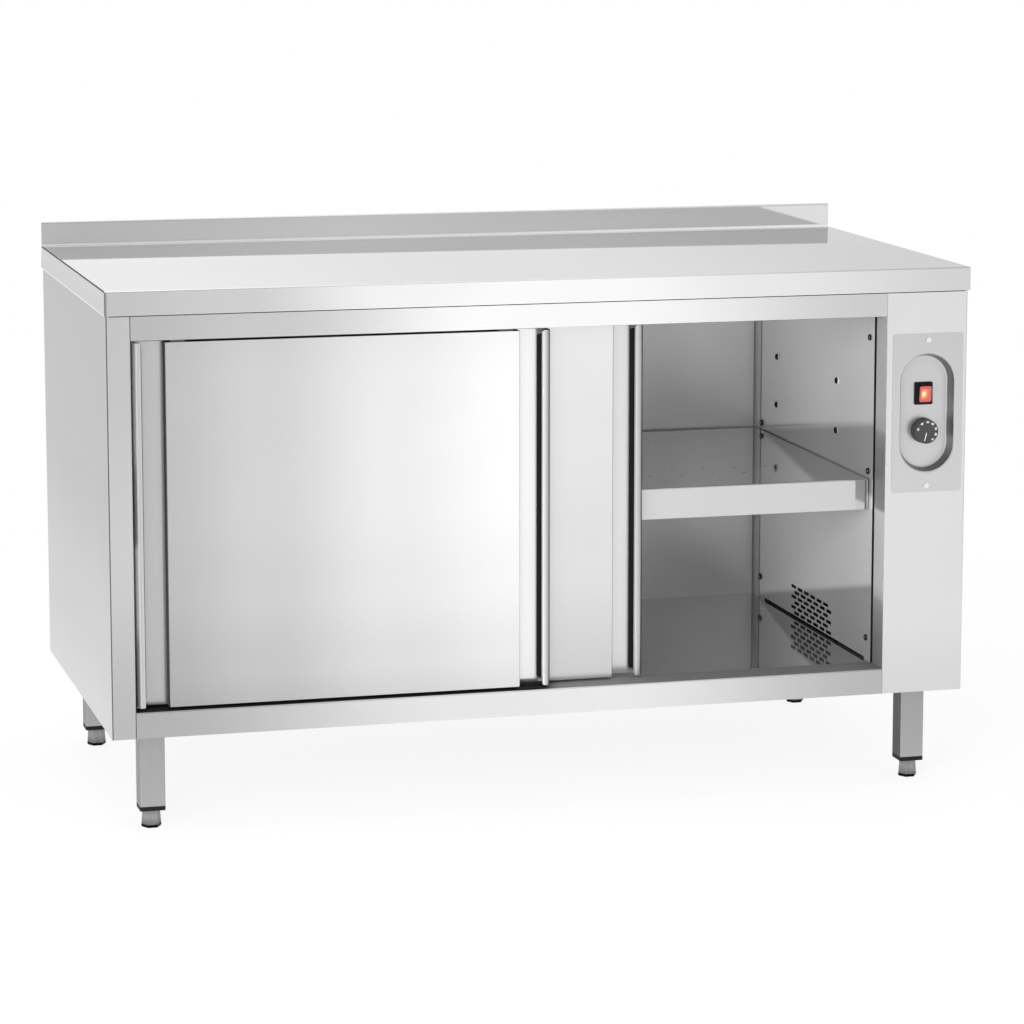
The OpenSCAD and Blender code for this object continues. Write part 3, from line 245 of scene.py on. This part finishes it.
def steel(name, stops, start=0.0, axis=0, along=2, spread=0.05, metallic=0.9, rough=0.2, scratch=0.04,
          fade=(), tint=1.0, lean=None):
    """Stainless steel.

    stops: [(metres, grey level), ...] along the axis, counted from start.
    along: the axis of its grain. spread: how much the grain changes the tone. scratch: how deep it is.
    fade: [(direction, [(metres, factor), ...]), ...], further changes of tone, each along a direction; here
    they and the stops mostly carry painted reflections and shade.
    tint: how much of the mirror is left at grazing angles.
    lean: a slight rise to the back, (slope, change of slope for each metre to the right)."""
    t = Material(name)

    def grain(across, lengthwise, detail, roughness):
        scale = [across, across, across]
        scale[along] = lengthwise
        return t.noise(scale, detail, roughness)

    lines = grain(420, 4.0, 3, 0.6)
    bands = grain(60, 1.3, 2, 0.5)
    cloud = t.noise(even(3.1), 3, 0.5)
    place = t.split(t.coords())
    base = t.gradient(place[axis], [(m + start, v) for m, v in stops], grey)
    tone = t.math("ADD", t.vary(lines, 1 - spread * 0.5, 1 + spread * 0.5),
                  t.math("ADD", t.vary(bands, -spread * 0.3, spread * 0.3), t.vary(cloud, -0.015, 0.015)))
    for direction, factors in fade:
        way = t.node("ShaderNodeVectorMath", operation="DOT_PRODUCT")
        t.link(t.coords(), way.inputs[0])
        way.inputs[1].default_value = direction
        tone = t.math("MULTIPLY", tone, t.gradient(way.outputs["Value"], factors, even))
    tone_rgb = t.node("ShaderNodeCombineXYZ")
    for i in range(3):
        t.link(tone, tone_rgb.inputs[i])
    t.shade("Base Color", t.mix(1.0, base, tone_rgb.outputs["Vector"], "MULTIPLY"))
    uneven = min(1.0, spread / 0.02)
    t.shade("Roughness", t.remap(bands, 0.25, 0.75, rough * (1 - 0.15 * uneven), rough * (1 + 0.2 * uneven)))
    t.set(Metallic=metallic, Specular_Tint=(*even(tint), 1))
    normal = t.bump(lines, scratch, 0.0003)
    if lean:
        slope = t.math("ADD", t.math("MULTIPLY", place["X"], lean[1]), lean[0])
        t.bump(t.math("MULTIPLY", place["Y"], slope), 1.0, 1.0, normal)
    return t.mat


def plastic(name, rgb, rough=0.45, grain=900, bump=0.15, gloss=0.5):
    t = Material(name)
    t.set(Specular_IOR_Level=gloss)
    fine = t.noise(even(grain))
    cloud = t.noise(even(22), 3, 0.5)
    darker, lighter = [c * 0.9 for c in rgb], [min(1, c * 1.12) for c in rgb]
    t.shade("Base Color", t.mix(t.vary(cloud, 0, 1), darker, lighter))
    t.shade("Roughness", t.vary(cloud, rough - 0.05, rough + 0.06))
    t.bump(fine, bump, 0.0002)
    return t.mat


def print_white(name):
    t = Material(name)
    wear = t.noise(even(900))
    t.shade("Base Color", t.ramp(wear, [(0.3, (0.42, 0.42, 0.41)), (0.6, (0.62, 0.62, 0.6))]))
    t.shade("Roughness", t.vary(wear, 0.45, 0.6))
    return t.mat


def lamp_lens(name):
    """A lit red lens: yellow left of its middle, orange around that, red at its rim."""
    t = Material(name)
    grain = t.noise((420, 420, 160), 4, 0.6)
    half_width, half_height, left, up = 0.0085, 0.0100, 0.42, 0.05
    place = t.split(t.coords(scale=(1 / half_width, 1, 1 / half_height), offset=(left, 0, -up)))
    squares = [t.math("MULTIPLY", place[axis], place[axis]) for axis in ("X", "Z")]
    d = t.math("ADD", t.math("SQRT", t.math("ADD", *squares)), t.vary(grain, -0.12, 0.12))
    color = t.ramp(d, [(0.0, (0.98, 0.66, 0.20)), (0.28, (0.82, 0.38, 0.13)),
                       (0.6, (0.56, 0.15, 0.10)), (1.0, (0.40, 0.085, 0.065))])
    t.shade("Base Color", color)
    t.shade("Emission Color", color)
    t.shade("Emission Strength", t.ramp(d, [(0.0, even(0.45)), (0.7, even(0.03))]))
    t.shade("Roughness", t.vary(grain, 0.12, 0.25))
    return t.mat


# ---------------------------------------------------------------- materials
X, Y, Z = 0, 1, 2
POLISHED = {"spread": 0.01, "scratch": 0.01}
SHEET = {"spread": 0.012, "scratch": 0.01, "rough": 0.05, "metallic": 0.85}

M = {
    # the worktop
    # painted reflections: the top darkens from left to right and grows lighter towards the splashback
    "worktop": steel("worktop_steel", [(-0.7, 252), (0.0, 230), (0.7, 187)], along=X, rough=0.03,
                     tint=0.95, lean=(0.0235, -0.0145), **POLISHED,
                     fade=[((0, 1, 0), [(-0.35, 1.0), (-0.05, 1.0), (0.28, 1.12), (0.35, 1.12)])]),
    # painted reflections and shade: a dark line at the left corner, and lighter and darker stretches along
    # the front edge
    "work_edge": steel("worktop_edge_steel",
                       [(-0.7, 96), (-0.6988, 110), (-0.6982, 184), (-0.5, 195), (-0.25, 232), (-0.05, 241),
                        (0.1, 240), (0.35, 224), (0.7, 205)], along=X, spread=0.015),
    # painted reflection: the splashback is darker towards the left
    "splash": steel("splashback_steel", [(-0.7, 186), (-0.1, 213), (0.7, 218)], along=X, rough=0.04,
                    **POLISHED),
    # painted highlight and shade: a light line along the side flanges' lower bend and a dark line at their
    # top edge
    "top_side": steel("worktop_side_steel",
                      [(0.812, 246), (0.8134, 244), (0.8142, 190), (0.8486, 194), (0.8492, 128), (0.85, 118)],
                      axis=Z, along=Y, spread=0.006, scratch=0.004, tint=0.9),
    # painted highlight: the splashback's bend is bright and grows lighter to the right
    "bend": steel("bend_steel", [(-0.7, 222), (0.0, 237), (0.7, 252)], along=X, rough=0.3, spread=0.01,
                  tint=0.9),
    # the casing
    # painted shade: the outer side panels darken towards the top
    "side": steel("side_steel", [(0.15, 206), (0.3, 190), (0.55, 165), (0.81, 160)], axis=Z, spread=0.006,
                  scratch=0.004, tint=0.9),
    # painted reflections: the posts are lightest in their middle, and the control front is lighter above its
    # foot
    "post": steel("post_steel", [(0.15, 175), (0.45, 194), (0.81, 187)], axis=Z, rough=0.25, spread=0.006,
                  scratch=0.006),
    "control_front": steel("control_front_steel", [(0.15, 208), (0.3, 217), (0.81, 217)], axis=Z, rough=0.25,
                           spread=0.004, scratch=0.003),
    # painted reflections: the jambs' light and dark bands mirror the compartment and its shelf
    "jamb": steel("jamb_steel",
                  [(0.19, 142), (0.24, 149), (0.28, 166), (0.30, 184), (0.315, 222), (0.33, 236), (0.45, 240),
                   (0.458, 146), (0.48, 134), (0.55, 150), (0.575, 168), (0.59, 206), (0.61, 216),
                   (0.78, 219)], axis=Z, rough=0.4, metallic=0.6, tint=0.6, **POLISHED),
    # painted reflections: the rails are lightest in the middle and darker towards their ends
    "rail": steel("rail_steel", [(-0.66, 176), (-0.45, 192), (-0.1, 241), (0.1, 240), (0.56, 198)], along=X,
                  spread=0.02),
    "brail": steel("bottom_rail_steel", [(-0.66, 166), (-0.1, 219), (0.1, 222), (0.56, 177)], along=X,
                   spread=0.02),
    # painted shadow: the threshold is nearly black under the front door and grey to its right
    "sill": steel("sill_steel", [(-0.66, 36), (-0.01, 40), (0.02, 156), (0.56, 138)], along=X, rough=0.5,
                  metallic=0.5, spread=0.02, tint=0.3),
    "back": steel("back_steel", [(-0.7, 205), (0.7, 212)], rough=0.3, spread=0.02),
    # painted shade: dark lines on the bends of the left side, the bottom rail's lower front and the worktop
    "fold": steel("fold_steel", [(0.0, 96), (0.9, 110)], axis=Z, rough=0.4, tint=0.5),
    # painted shade: the back wall's flange edges are mid-grey instead of bright
    "edge": steel("edge_steel", [(0.0, 130), (0.9, 138)], axis=Z, rough=0.4, tint=0.5),
    # the doors
    # painted reflections and shade: the front door lightens to the right and darkens towards its foot; the
    # rear door darkens towards its foot
    "front_door": steel("front_door_steel", [(-0.62, 182), (-0.45, 201), (-0.25, 226), (-0.05, 243)],
                        spread=0.008, fade=[((0, 0, 1), [(0.2, 0.76), (0.26, 0.84), (0.38, 0.95), (0.5, 1.0),
                                                         (0.7, 1.0), (0.77, 0.97)])]),
    "rear_door": steel("rear_door_steel", [(0.2, 199), (0.4, 216), (0.6, 222), (0.77, 226)], axis=Z,
                       spread=0.01),
    # painted reflections and shade: the grips are lightest near the middle and darken towards their foot
    "grip": steel("grip_steel", [(-0.66, 182), (-0.5, 188), (-0.05, 246), (0.0, 236), (0.2, 214)],
                  spread=0.012,
                  fade=[((0, 0, 1), [(0.2, 0.90), (0.35, 0.97), (0.5, 1.0), (0.77, 1.0)])]),
    # painted highlight and shade across the rounded grip bars: bright on one side, darkening to their outer
    # edge
    "bar_left": steel("bar_left_steel",
                      [(0.0, 225), (0.0015, 205), (0.0031, 178), (0.0046, 203), (0.0062, 202), (0.0077, 182),
                       (0.0092, 186), (0.0108, 196), (0.0135, 205)],
                      start=LEFT_BAR, rough=0.3, spread=0.01, tint=0.7),
    "bar_right": steel("bar_right_steel",
                       [(0.0, 248), (0.0018, 238), (0.0035, 216), (0.0065, 192), (0.0095, 180), (0.011, 158),
                        (0.0122, 60), (0.0135, 30)], start=RIGHT_BAR, rough=0.3, spread=0.01, tint=0.4),
    "bar_rear": steel("bar_rear_steel",
                      [(0.0, 244), (0.0015, 215), (0.0035, 198), (0.0065, 186), (0.0095, 180), (0.011, 152),
                       (0.0122, 40), (0.0135, 20)], start=REAR_BAR, rough=0.3, spread=0.01, tint=0.4),
    # painted shade: the doors' left flanks and the top faces of panels and grips are dark
    "flank": steel("flank_steel", [(0.2, 62), (0.77, 48)], axis=Z, rough=0.55, metallic=0.3, tint=0.1),
    # the compartment; the fades of its right wall and its floor are painted reflections of what these mirror
    # in the photo
    # painted shade: a dark strip in the back wall's right corner, and the wall a little darker low down
    "liner": steel("liner_steel", [(0.19, 200), (0.5, 210), (0.78, 216)], axis=Z, rough=0.35, metallic=0.7,
                   spread=0.004, scratch=0.01,
                   fade=[((1, 0, 0), [(0.5540, 1.0), (0.5560, 1.0), (0.5566, 0.25), (0.5583, 0.25),
                                      (0.5587, 1.0), (0.5600, 1.0)])]),
    # painted reflections and shade: the right wall darkens towards the back and has slanted dark bands where
    # it mirrors the shelf
    "right_wall": steel("liner_wall_steel", [(-0.29, 250), (0.0, 248), (0.31, 214)], axis=Y, rough=0.06,
                        metallic=0.62, **POLISHED,
                        fade=[((0, 0.213, 1), [(0.1, 0.52), (0.257, 0.55), (0.268, 1.0), (1.1, 1.0)]),
                              ((0, 0, 1), [(0.1, 1.08), (0.465, 1.08), (0.475, 0.54), (1.0, 0.54)]),
                              ((0, 0.157, 1), [(0.3, 1.0), (0.537, 1.0), (0.552, 1.9), (1.1, 1.9)])]),
    # painted shade: the left wall darkens towards the back
    "left_wall": steel("left_wall_steel", [(-0.29, 232), (0.0, 228), (0.31, 206)], axis=Y, rough=0.08,
                       metallic=0.7, **POLISHED),
    # painted reflection: the compartment floor and ceiling are darker along their right side, where the floor
    # mirrors the right wall
    "liner_floor": steel("liner_floor_steel", [(-0.7, 188), (0.7, 188)], along=X, **SHEET,
                         fade=[((1, -0.332, 0), [(-1.2, 1.0), (0.452, 1.0), (0.459, 0.7), (1.0, 0.7)])]),
    # painted reflection: the shelf darkens to the right
    "shelf": steel("shelf_steel", [(-0.7, 212), (0.7, 196)], along=X, **SHEET),
    # the controls
    "plate": steel("control_plate_steel", [(0.48, 203), (0.75, 199)], axis=Z, rough=0.3, spread=0.004,
                   scratch=0.004),
    # painted shade: the dish's walls are dark, darkest at their top and bottom
    "dish": steel("dish_steel", [(0.51, 108), (0.58, 150), (0.65, 128), (0.71, 108)], axis=Z, rough=0.25,
                  spread=0.006, scratch=0.004),
    "knob": plastic("knob_plastic", (0.035, 0.035, 0.038), rough=0.55, gloss=0.3),
    "red": plastic("rocker_plastic", (0.34, 0.07, 0.06), rough=0.3, bump=0.03, gloss=0.3),
    # legs and feet
    "leg": steel("leg_steel", [(0.0, 168), (0.16, 160)], axis=Z, rough=0.3),
    # painted shade: the legs' left faces are darker, the right legs' darkest
    "leg_flank": steel("leg_flank_steel", [(0.0, 96), (0.16, 106)], axis=Z, rough=0.35, tint=0.5),
    "left_leg_flank": steel("left_leg_flank_steel", [(0.0, 138), (0.16, 144)], axis=Z, rough=0.35, tint=0.8),
    "foot": steel("foot_metal", [(0.0, 8), (0.0045, 10), (0.0052, 118), (0.018, 150), (0.03, 130)], axis=Z,
                  rough=0.3, spread=0.3, tint=0.6),
    # the rest
    "zinc": steel("zinc_steel", [(-0.7, 150), (0.7, 158)], along=X, spread=0.25, rough=0.45),
    # painted shade: near black, so that the grille's slots and the gap over the doors read as shade
    "duct": steel("duct_steel", [(0.1, 26), (0.4, 32)], axis=Z, rough=0.6, metallic=0.6, spread=0.2,
                  tint=0.2),
    "bright": steel("bright_steel", [(0.0, 235), (0.9, 240)], axis=Z, metallic=0.95, rough=0.18),
    "black": plastic("black_plastic", (0.008, 0.008, 0.0095), rough=0.55, gloss=0.15),
    "white": plastic("white_plastic", (0.8, 0.79, 0.75)),
    "wool": plastic("mineral_wool", (0.62, 0.54, 0.33), rough=0.95, grain=300, bump=0.8),
    "board": plastic("pressed_board", (0.5, 0.36, 0.2), rough=0.8, grain=260, bump=0.5),
}

LOOK = {
    "worktop": "worktop", "worktop_core": "board", "left_side_panel": "post",
    "right_side_panel": "control_front", "rear_panel": "back", "bottom_panel": "zinc",
    "top_rail": "rail", "bottom_rail": "brail",
    "inner_left_wall": "left_wall", "inner_right_wall": "right_wall", "inner_back_wall": "liner",
    "inner_ceiling": "liner_floor", "inner_floor": "liner_floor", "insulation_slabs": "wool",
    "door_track": "duct", "floor_guide": "black", "shelf": "shelf", "shelf_studs": "bright",
    "shelf_sockets": "right_wall", "wall_screws": "black", "control_plate": "plate", "plate_screws": "bright",
    "switch_housing": "black", "switch_rocker": "black", "thermostat_body": "white",
    "thermostat_shaft": "zinc", "thermostat_knob": "knob", "fan_housing": "duct",
    "fan_motor": "zinc", "fan_wheel": "duct", "heating_element": "duct", "terminal_block": "white",
    "cable_gland": "black", "leg_caps": "black",
}


def look_of(name):
    if name in LOOK:
        return LOOK[name]
    for start, look in (("leg_", "leg"), ("foot_", "foot")):
        if name.startswith(start):
            return look
    for end, look in (("_roller", "black"), ("_hangers", "zinc"), ("_core", "wool"), ("_liners", "black")):
        if name.endswith(end):
            return look
    if "grip" in name:
        return "grip"
    return "front_door" if name.startswith("front_door") else "rear_door"


for node_name, node in nodes.items():
    node.data.materials.clear()
    node.data.materials.append(M[look_of(node_name)])


# ---------------------------------------------------------------- small pieces
def add(name, bm, mat, body, place=(0, 0, 0), turn=Matrix.Identity(4), smooth=False):
    mesh = bpy.data.meshes.new(name)
    bm.to_mesh(mesh)
    bm.free()
    for p in mesh.polygons:
        p.use_smooth = smooth
    mesh.materials.append(mat)
    piece = bpy.data.objects.new(name, mesh)
    scene.collection.objects.link(piece)
    piece.matrix_world = Matrix.Translation(place) @ turn
    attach(piece, body)


def skin(bm, a, b):
    """Faces between two closed rows of points."""
    for i in range(len(a)):
        j = (i + 1) % len(a)
        bm.faces.new((a[i], a[j], b[j], b[i]))


def circle(bm, x, r, segments):
    """A row of points around the X axis."""
    turns = [2 * math.pi * i / segments for i in range(segments)]
    return [bm.verts.new((x, r * math.cos(a), r * math.sin(a))) for a in turns]


def rounded_plate(w, h, t, r, edge):
    """A plate in X and Z, facing -Y, with round corners and a bevelled face."""
    bm = bmesh.new()
    outline = []
    cx, cz = w / 2 - r, h / 2 - r
    for quarter, (sx, sz) in enumerate(((1, 1), (-1, 1), (-1, -1), (1, -1))):
        for k in range(6):
            a = math.radians(quarter * 90 + k * 18)
            outline.append((sx * cx + r * math.cos(a), sz * cz + r * math.sin(a)))
    layers = []
    for inset, y in ((0, 0), (0, -t + edge), (edge * 0.35, -t + edge * 0.3), (edge, -t)):
        kx, kz = (w - 2 * inset) / w, (h - 2 * inset) / h
        layers.append([bm.verts.new((x * kx, y, z * kz)) for x, z in outline])
    for lower, upper in zip(layers, layers[1:]):
        skin(bm, lower, upper)
    bm.faces.new(layers[-1])
    bm.faces.new(list(reversed(layers[0])))
    bmesh.ops.recalc_face_normals(bm, faces=bm.faces)
    return bm


def ring_plate(r0, r1, t, segments=32):
    """A flat ring around the X axis, from x = 0 to x = -t, with a slightly sunk inner edge."""
    bm = bmesh.new()
    section = ((r0, 0), (r1, 0), (r1, -t * 0.6), (r1 - 0.0004, -t), (r0 + 0.0003, -t), (r0, -t * 0.7))
    rows = [circle(bm, x, r, segments) for r, x in section]
    for a, b in zip(rows, rows[1:] + rows[:1]):
        skin(bm, a, b)
    bmesh.ops.recalc_face_normals(bm, faces=bm.faces)
    return bm


def dome(r, h, segments=20, rings=4):
    """A low dome around the X axis that stands on x = 0 and faces -X."""
    bm = bmesh.new()
    rises = [math.pi / 2 * k / rings for k in range(rings)]
    rows = [circle(bm, -h * math.sin(a), r * math.cos(a), segments) for a in rises]
    top = bm.verts.new((-h, 0, 0))
    for a, b in zip(rows, rows[1:]):
        skin(bm, a, b)
    for i in range(segments):
        bm.faces.new((rows[-1][i], rows[-1][(i + 1) % segments], top))
    bm.faces.new(list(reversed(rows[0])))
    bmesh.ops.recalc_face_normals(bm, faces=bm.faces)
    return bm


def number_mesh(value):
    """A thin solid number, upright in X and Y."""
    text = bpy.data.curves.new("number", "FONT")
    text.body = str(value)
    text.size = NUMBER_SIZE
    text.align_x = text.align_y = "CENTER"
    text.extrude = NUMBER_HALF
    text.offset = NUMBER_BOLD
    holder = bpy.data.objects.new("number", text)
    scene.collection.objects.link(holder)
    bpy.context.view_layer.update()
    mesh = bpy.data.meshes.new_from_object(holder)
    bpy.data.objects.remove(holder)
    bm = bmesh.new()
    bm.from_mesh(mesh)
    return bm


def on_knob(r, a, y):
    """A place on the knob's face, r from its middle and at the angle a."""
    return (KNOB[0] + r * math.cos(a), y, KNOB[2] + r * math.sin(a))


def add_controls():
    white = print_white("print_white")
    upright = Matrix.Rotation(math.radians(90), 4, "X")
    for k, angle in enumerate(NUMBER_ANGLES):
        value = NUMBER_FIRST + NUMBER_STEP * k
        a = math.radians(angle)
        spot = Matrix.Translation(on_knob(NUMBER_R, a, KNOB[1] - NUMBER_HALF))
        add(f"knob_number_{value}", number_mesh(value), white, "knob",
            turn=spot @ upright @ Matrix.Rotation(a - math.pi / 2, 4, "Z"))
    a = math.radians(POINTER_ANGLE)
    add("knob_pointer", rounded_plate(*POINTER_PLATE), white, "knob",
        on_knob(POINTER_R, a, KNOB[1]), Matrix.Rotation(-a, 4, "Y"))
    tilt = Matrix.Rotation(math.radians(ROCKER_TILT), 4, "X")
    add("rocker_face", rounded_plate(*ROCKER_PLATE), M["red"], "rocker", ROCKER_FACE, tilt)
    add("rocker_lens", rounded_plate(*LENS_PLATE), lamp_lens("lamp_lens"), "rocker",
        ROCKER_LENS, tilt)


def add_fixings():
    for side, way, x in WALLS:
        turn = Matrix.Identity(4) if way == 1 else Matrix.Rotation(math.pi, 4, "Z")
        for row, y in SCREW_Y:
            for z in SCREW_Z:
                where = f"{side}_{row}_{round(z * 1000)}"
                add(f"screw_washer_{where}", ring_plate(*WASHER), M["black"], "cabinet",
                    (x, y, z), turn)
                add(f"screw_centre_{where}", dome(*SCREW_CENTRE), M["bright"], "cabinet",
                    (x - SCREW_OUT * way, y, z), turn, True)
        for row, y in SOCKET_Y:
            for z in SOCKET_Z:
                where = f"{side}_{row}_{round(z * 1000)}"
                add(f"socket_rim_{where}", ring_plate(*SOCKET_RIM), M["black"], "cabinet",
                    (x, y, z), turn)
    # painted shade: the black strip for the shadow gap under the worktop's front
    add("worktop_shadow_strip", rounded_plate(*SHADOW_STRIP_PLATE), M["black"], "cabinet", SHADOW_STRIP)


add_controls()
add_fixings()


# ---------------------------------------------------------------- faces with a look of their own; most carry painted shade, highlights and reflections
def finish(name, look, test):
    """The node's faces for which test(centre, normal) holds take another material."""
    o = nodes[name]
    o.data.materials.append(M[look])
    for p in o.data.polygons:
        if test(o.matrix_world @ p.center, p.normal):
            p.material_index = len(o.data.materials) - 1


def to_left(c, n):
    return n.x < -FACING


def to_right(c, n):
    return n.x > FACING


def to_top(c, n):
    return n.z > FACING


# painted shade: dark left flanks and top faces; the grip bars take their painted highlight and shade
for door in ("front_door", "rear_door"):
    finish(f"{door}_panel", "flank", lambda c, n: n.x < -0.98)
    for grip in (f"{door}_left_grip", f"{door}_right_grip"):
        if grip in BARS:
            x0, x1, bar = BARS[grip]
            finish(grip, bar, lambda c, n: x0 < c.x < x1 and n.z < FACING)
        finish(grip, "flank", to_top)
    finish(f"{door}_panel", "flank", to_top)
# painted shadow on the threshold, and painted shade lines on the left side's bend and the bottom rail's lower
# front
finish("bottom_rail", "sill", to_top)
finish("left_side_panel", "fold", lambda c, n: -0.97 < n.x < -0.3 and n.y < -0.2)
finish("bottom_rail", "fold", lambda c, n: n.z < -0.25 and n.y < -0.2)
# painted shade on the legs' left faces
for row in ("front", "rear"):
    finish(f"leg_{row}_right", "leg_flank", to_left)
    finish(f"leg_{row}_left", "left_leg_flank", to_left)
# painted shade on the outer sides, painted reflections on the jambs
finish("left_side_panel", "side", to_left)
finish("right_side_panel", "side", to_right)
finish("right_side_panel", "jamb", lambda c, n: to_left(c, n) and c.x < JAMB_X)
finish("left_side_panel", "jamb", lambda c, n: to_right(c, n) and c.y < MOUTH_Y)
# painted reflections, highlights and shade on the worktop's front edge, sides, splashback, bend and left bend
finish("worktop", "work_edge",
       lambda c, n: n.z < 0.5 and c.z < WORKTOP_Z and abs(n.x) < FACING and c.y < 0)
finish("worktop", "top_side", lambda c, n: abs(n.x) > FACING and c.z < WORKTOP_Z)
finish("worktop", "splash", lambda c, n: c.z > SPLASH_Z and n.y < -0.5)
finish("worktop", "back", lambda c, n: n.y > FACING)
finish("worktop", "bend",
       lambda c, n: c.y > BEND_Y and 0.1 < n.z < 0.98 and n.y < -0.1 and c.z < BEND_Z)
finish("worktop", "fold", lambda c, n: -0.98 < n.x < -0.25 and n.z > 0.1)
# painted shade on the back wall's flange edges
finish("inner_back_wall", "edge", lambda c, n: n.y < -FACING and c.y < FLANGE_Y)
# painted shade: the walls' front edges at the opening are black, as the gap beside the jambs
for wall in ("inner_right_wall", "inner_left_wall"):
    finish(wall, "black", lambda c, n: n.y < -FACING and c.y < MOUTH_Y)
# painted shade on the dish's sloping walls
finish("control_plate", "dish",
       lambda c, n: n.y > -0.85 and all(start < v < end for v, (start, end) in zip(c, DISH)))


# ---------------------------------------------------------------- stage and light
WHITE = (1, 1, 1, 1)
FLOOR_GREY = (0.86, 0.86, 0.86, 1)
FLOOR_R = 2.4
GLOW_NEAR, GLOW_FAR = (1.0, 0.86), (2.2, 1.0)           # distance from the part, share of plain white


def add_floor():
    """A pale floor that keeps the part's shadow and turns plain white away from it."""
    t = Material("floor_white")
    out = t.nt.nodes["Material Output"]
    t.nt.nodes.remove(t.bsdf)
    diffuse = t.node("ShaderNodeBsdfDiffuse")
    diffuse.inputs["Color"].default_value = FLOOR_GREY
    glow = t.node("ShaderNodeEmission")
    glow.inputs["Color"].default_value = WHITE
    glow.inputs["Strength"].default_value = 1.0
    length = t.node("ShaderNodeVectorMath", operation="LENGTH")
    t.link(t.coords(), length.inputs[0])
    path = t.node("ShaderNodeLightPath")
    seen = t.math("MAXIMUM", path.outputs["Is Camera Ray"], path.outputs["Is Glossy Ray"])
    share = t.remap(length.outputs["Value"], GLOW_NEAR[0], GLOW_FAR[0], GLOW_NEAR[1], GLOW_FAR[1])
    t.link(t.either(t.math("MULTIPLY", seen, share), diffuse.outputs["BSDF"], glow.outputs["Emission"]),
           out.inputs["Surface"])
    bm = bmesh.new()
    bmesh.ops.create_circle(bm, cap_ends=True, radius=FLOOR_R, segments=96)
    mesh = bpy.data.meshes.new("floor")
    bm.to_mesh(mesh)
    bm.free()
    floor = bpy.data.objects.new("floor", mesh)
    scene.collection.objects.link(floor)
    floor.data.materials.append(t.mat)


def add_world():
    """White behind the part and a little dimmer as its light. Mirrors see darker sides, a darker upper front
    and a slightly darker upper back."""
    world = bpy.data.worlds.new("studio")
    scene.world = world
    world.use_nodes = True
    g = Graph(world.node_tree)
    g.nt.nodes.clear()

    def background(strength):
        n = g.node("ShaderNodeBackground")
        n.inputs["Color"].default_value = WHITE
        g.fill(n.inputs["Strength"], strength)
        return n.outputs["Background"]

    def smooth(value, *ends):
        return g.remap(value, *ends, "SMOOTHSTEP")

    path = g.node("ShaderNodeLightPath")
    way = g.split(g.node("ShaderNodeTexCoord").outputs["Generated"])
    sides = smooth(g.math("ABSOLUTE", way["X"]), 0.80, 0.97, 1.0, 0.42)
    front = smooth(way["Y"], -0.3, -0.6, 0.0, 0.36)
    above = smooth(way["Z"], 0.0, 0.08, 0.0, 1.0)
    back = smooth(way["Y"], 0.3, 0.6, 0.0, 0.13)
    darker = g.math("MULTIPLY", g.math("ADD", front, back), above)
    mirrored = g.math("MULTIPLY", sides, g.math("SUBTRACT", 1.0, darker))
    lit = g.either(path.outputs["Is Glossy Ray"], background(0.75), background(mirrored))
    seen = g.either(path.outputs["Is Camera Ray"], lit, background(1.0))
    g.link(seen, g.node("ShaderNodeOutputWorld").inputs["Surface"])


def lamp(name, size, watts, place, aim):
    """A soft lamp that mirrors don't show."""
    data = bpy.data.lights.new(name, "AREA")
    data.shape = "RECTANGLE"
    data.size, data.size_y = size
    data.energy = watts
    o = bpy.data.objects.new(name, data)
    scene.collection.objects.link(o)
    o.location = place
    o.rotation_euler = (Vector(aim) - Vector(place)).to_track_quat("-Z", "Y").to_euler()
    o.visible_glossy = False


add_floor()
add_world()
lamp("key", (2.4, 1.6), 160, (-2.9, -3.6, 1.5), (0.4, 0, 0.45))
lamp("fill", (2.0, 2.0), 30, (2.6, -4.0, 2.4), (0, 0, 0.5))
lamp("top", (3.5, 2.5), 35, (0, 0.2, 4.0), (0, 0, 0.6))
lamp("behind", (3.0, 2.0), 30, (-0.5, 4.2, 2.6), (0, 0, 0.5))
lamp("inside", (0.9, 0.7), 74, (-1.3, -3.0, 0.7), (0.5, 0, 0.45))
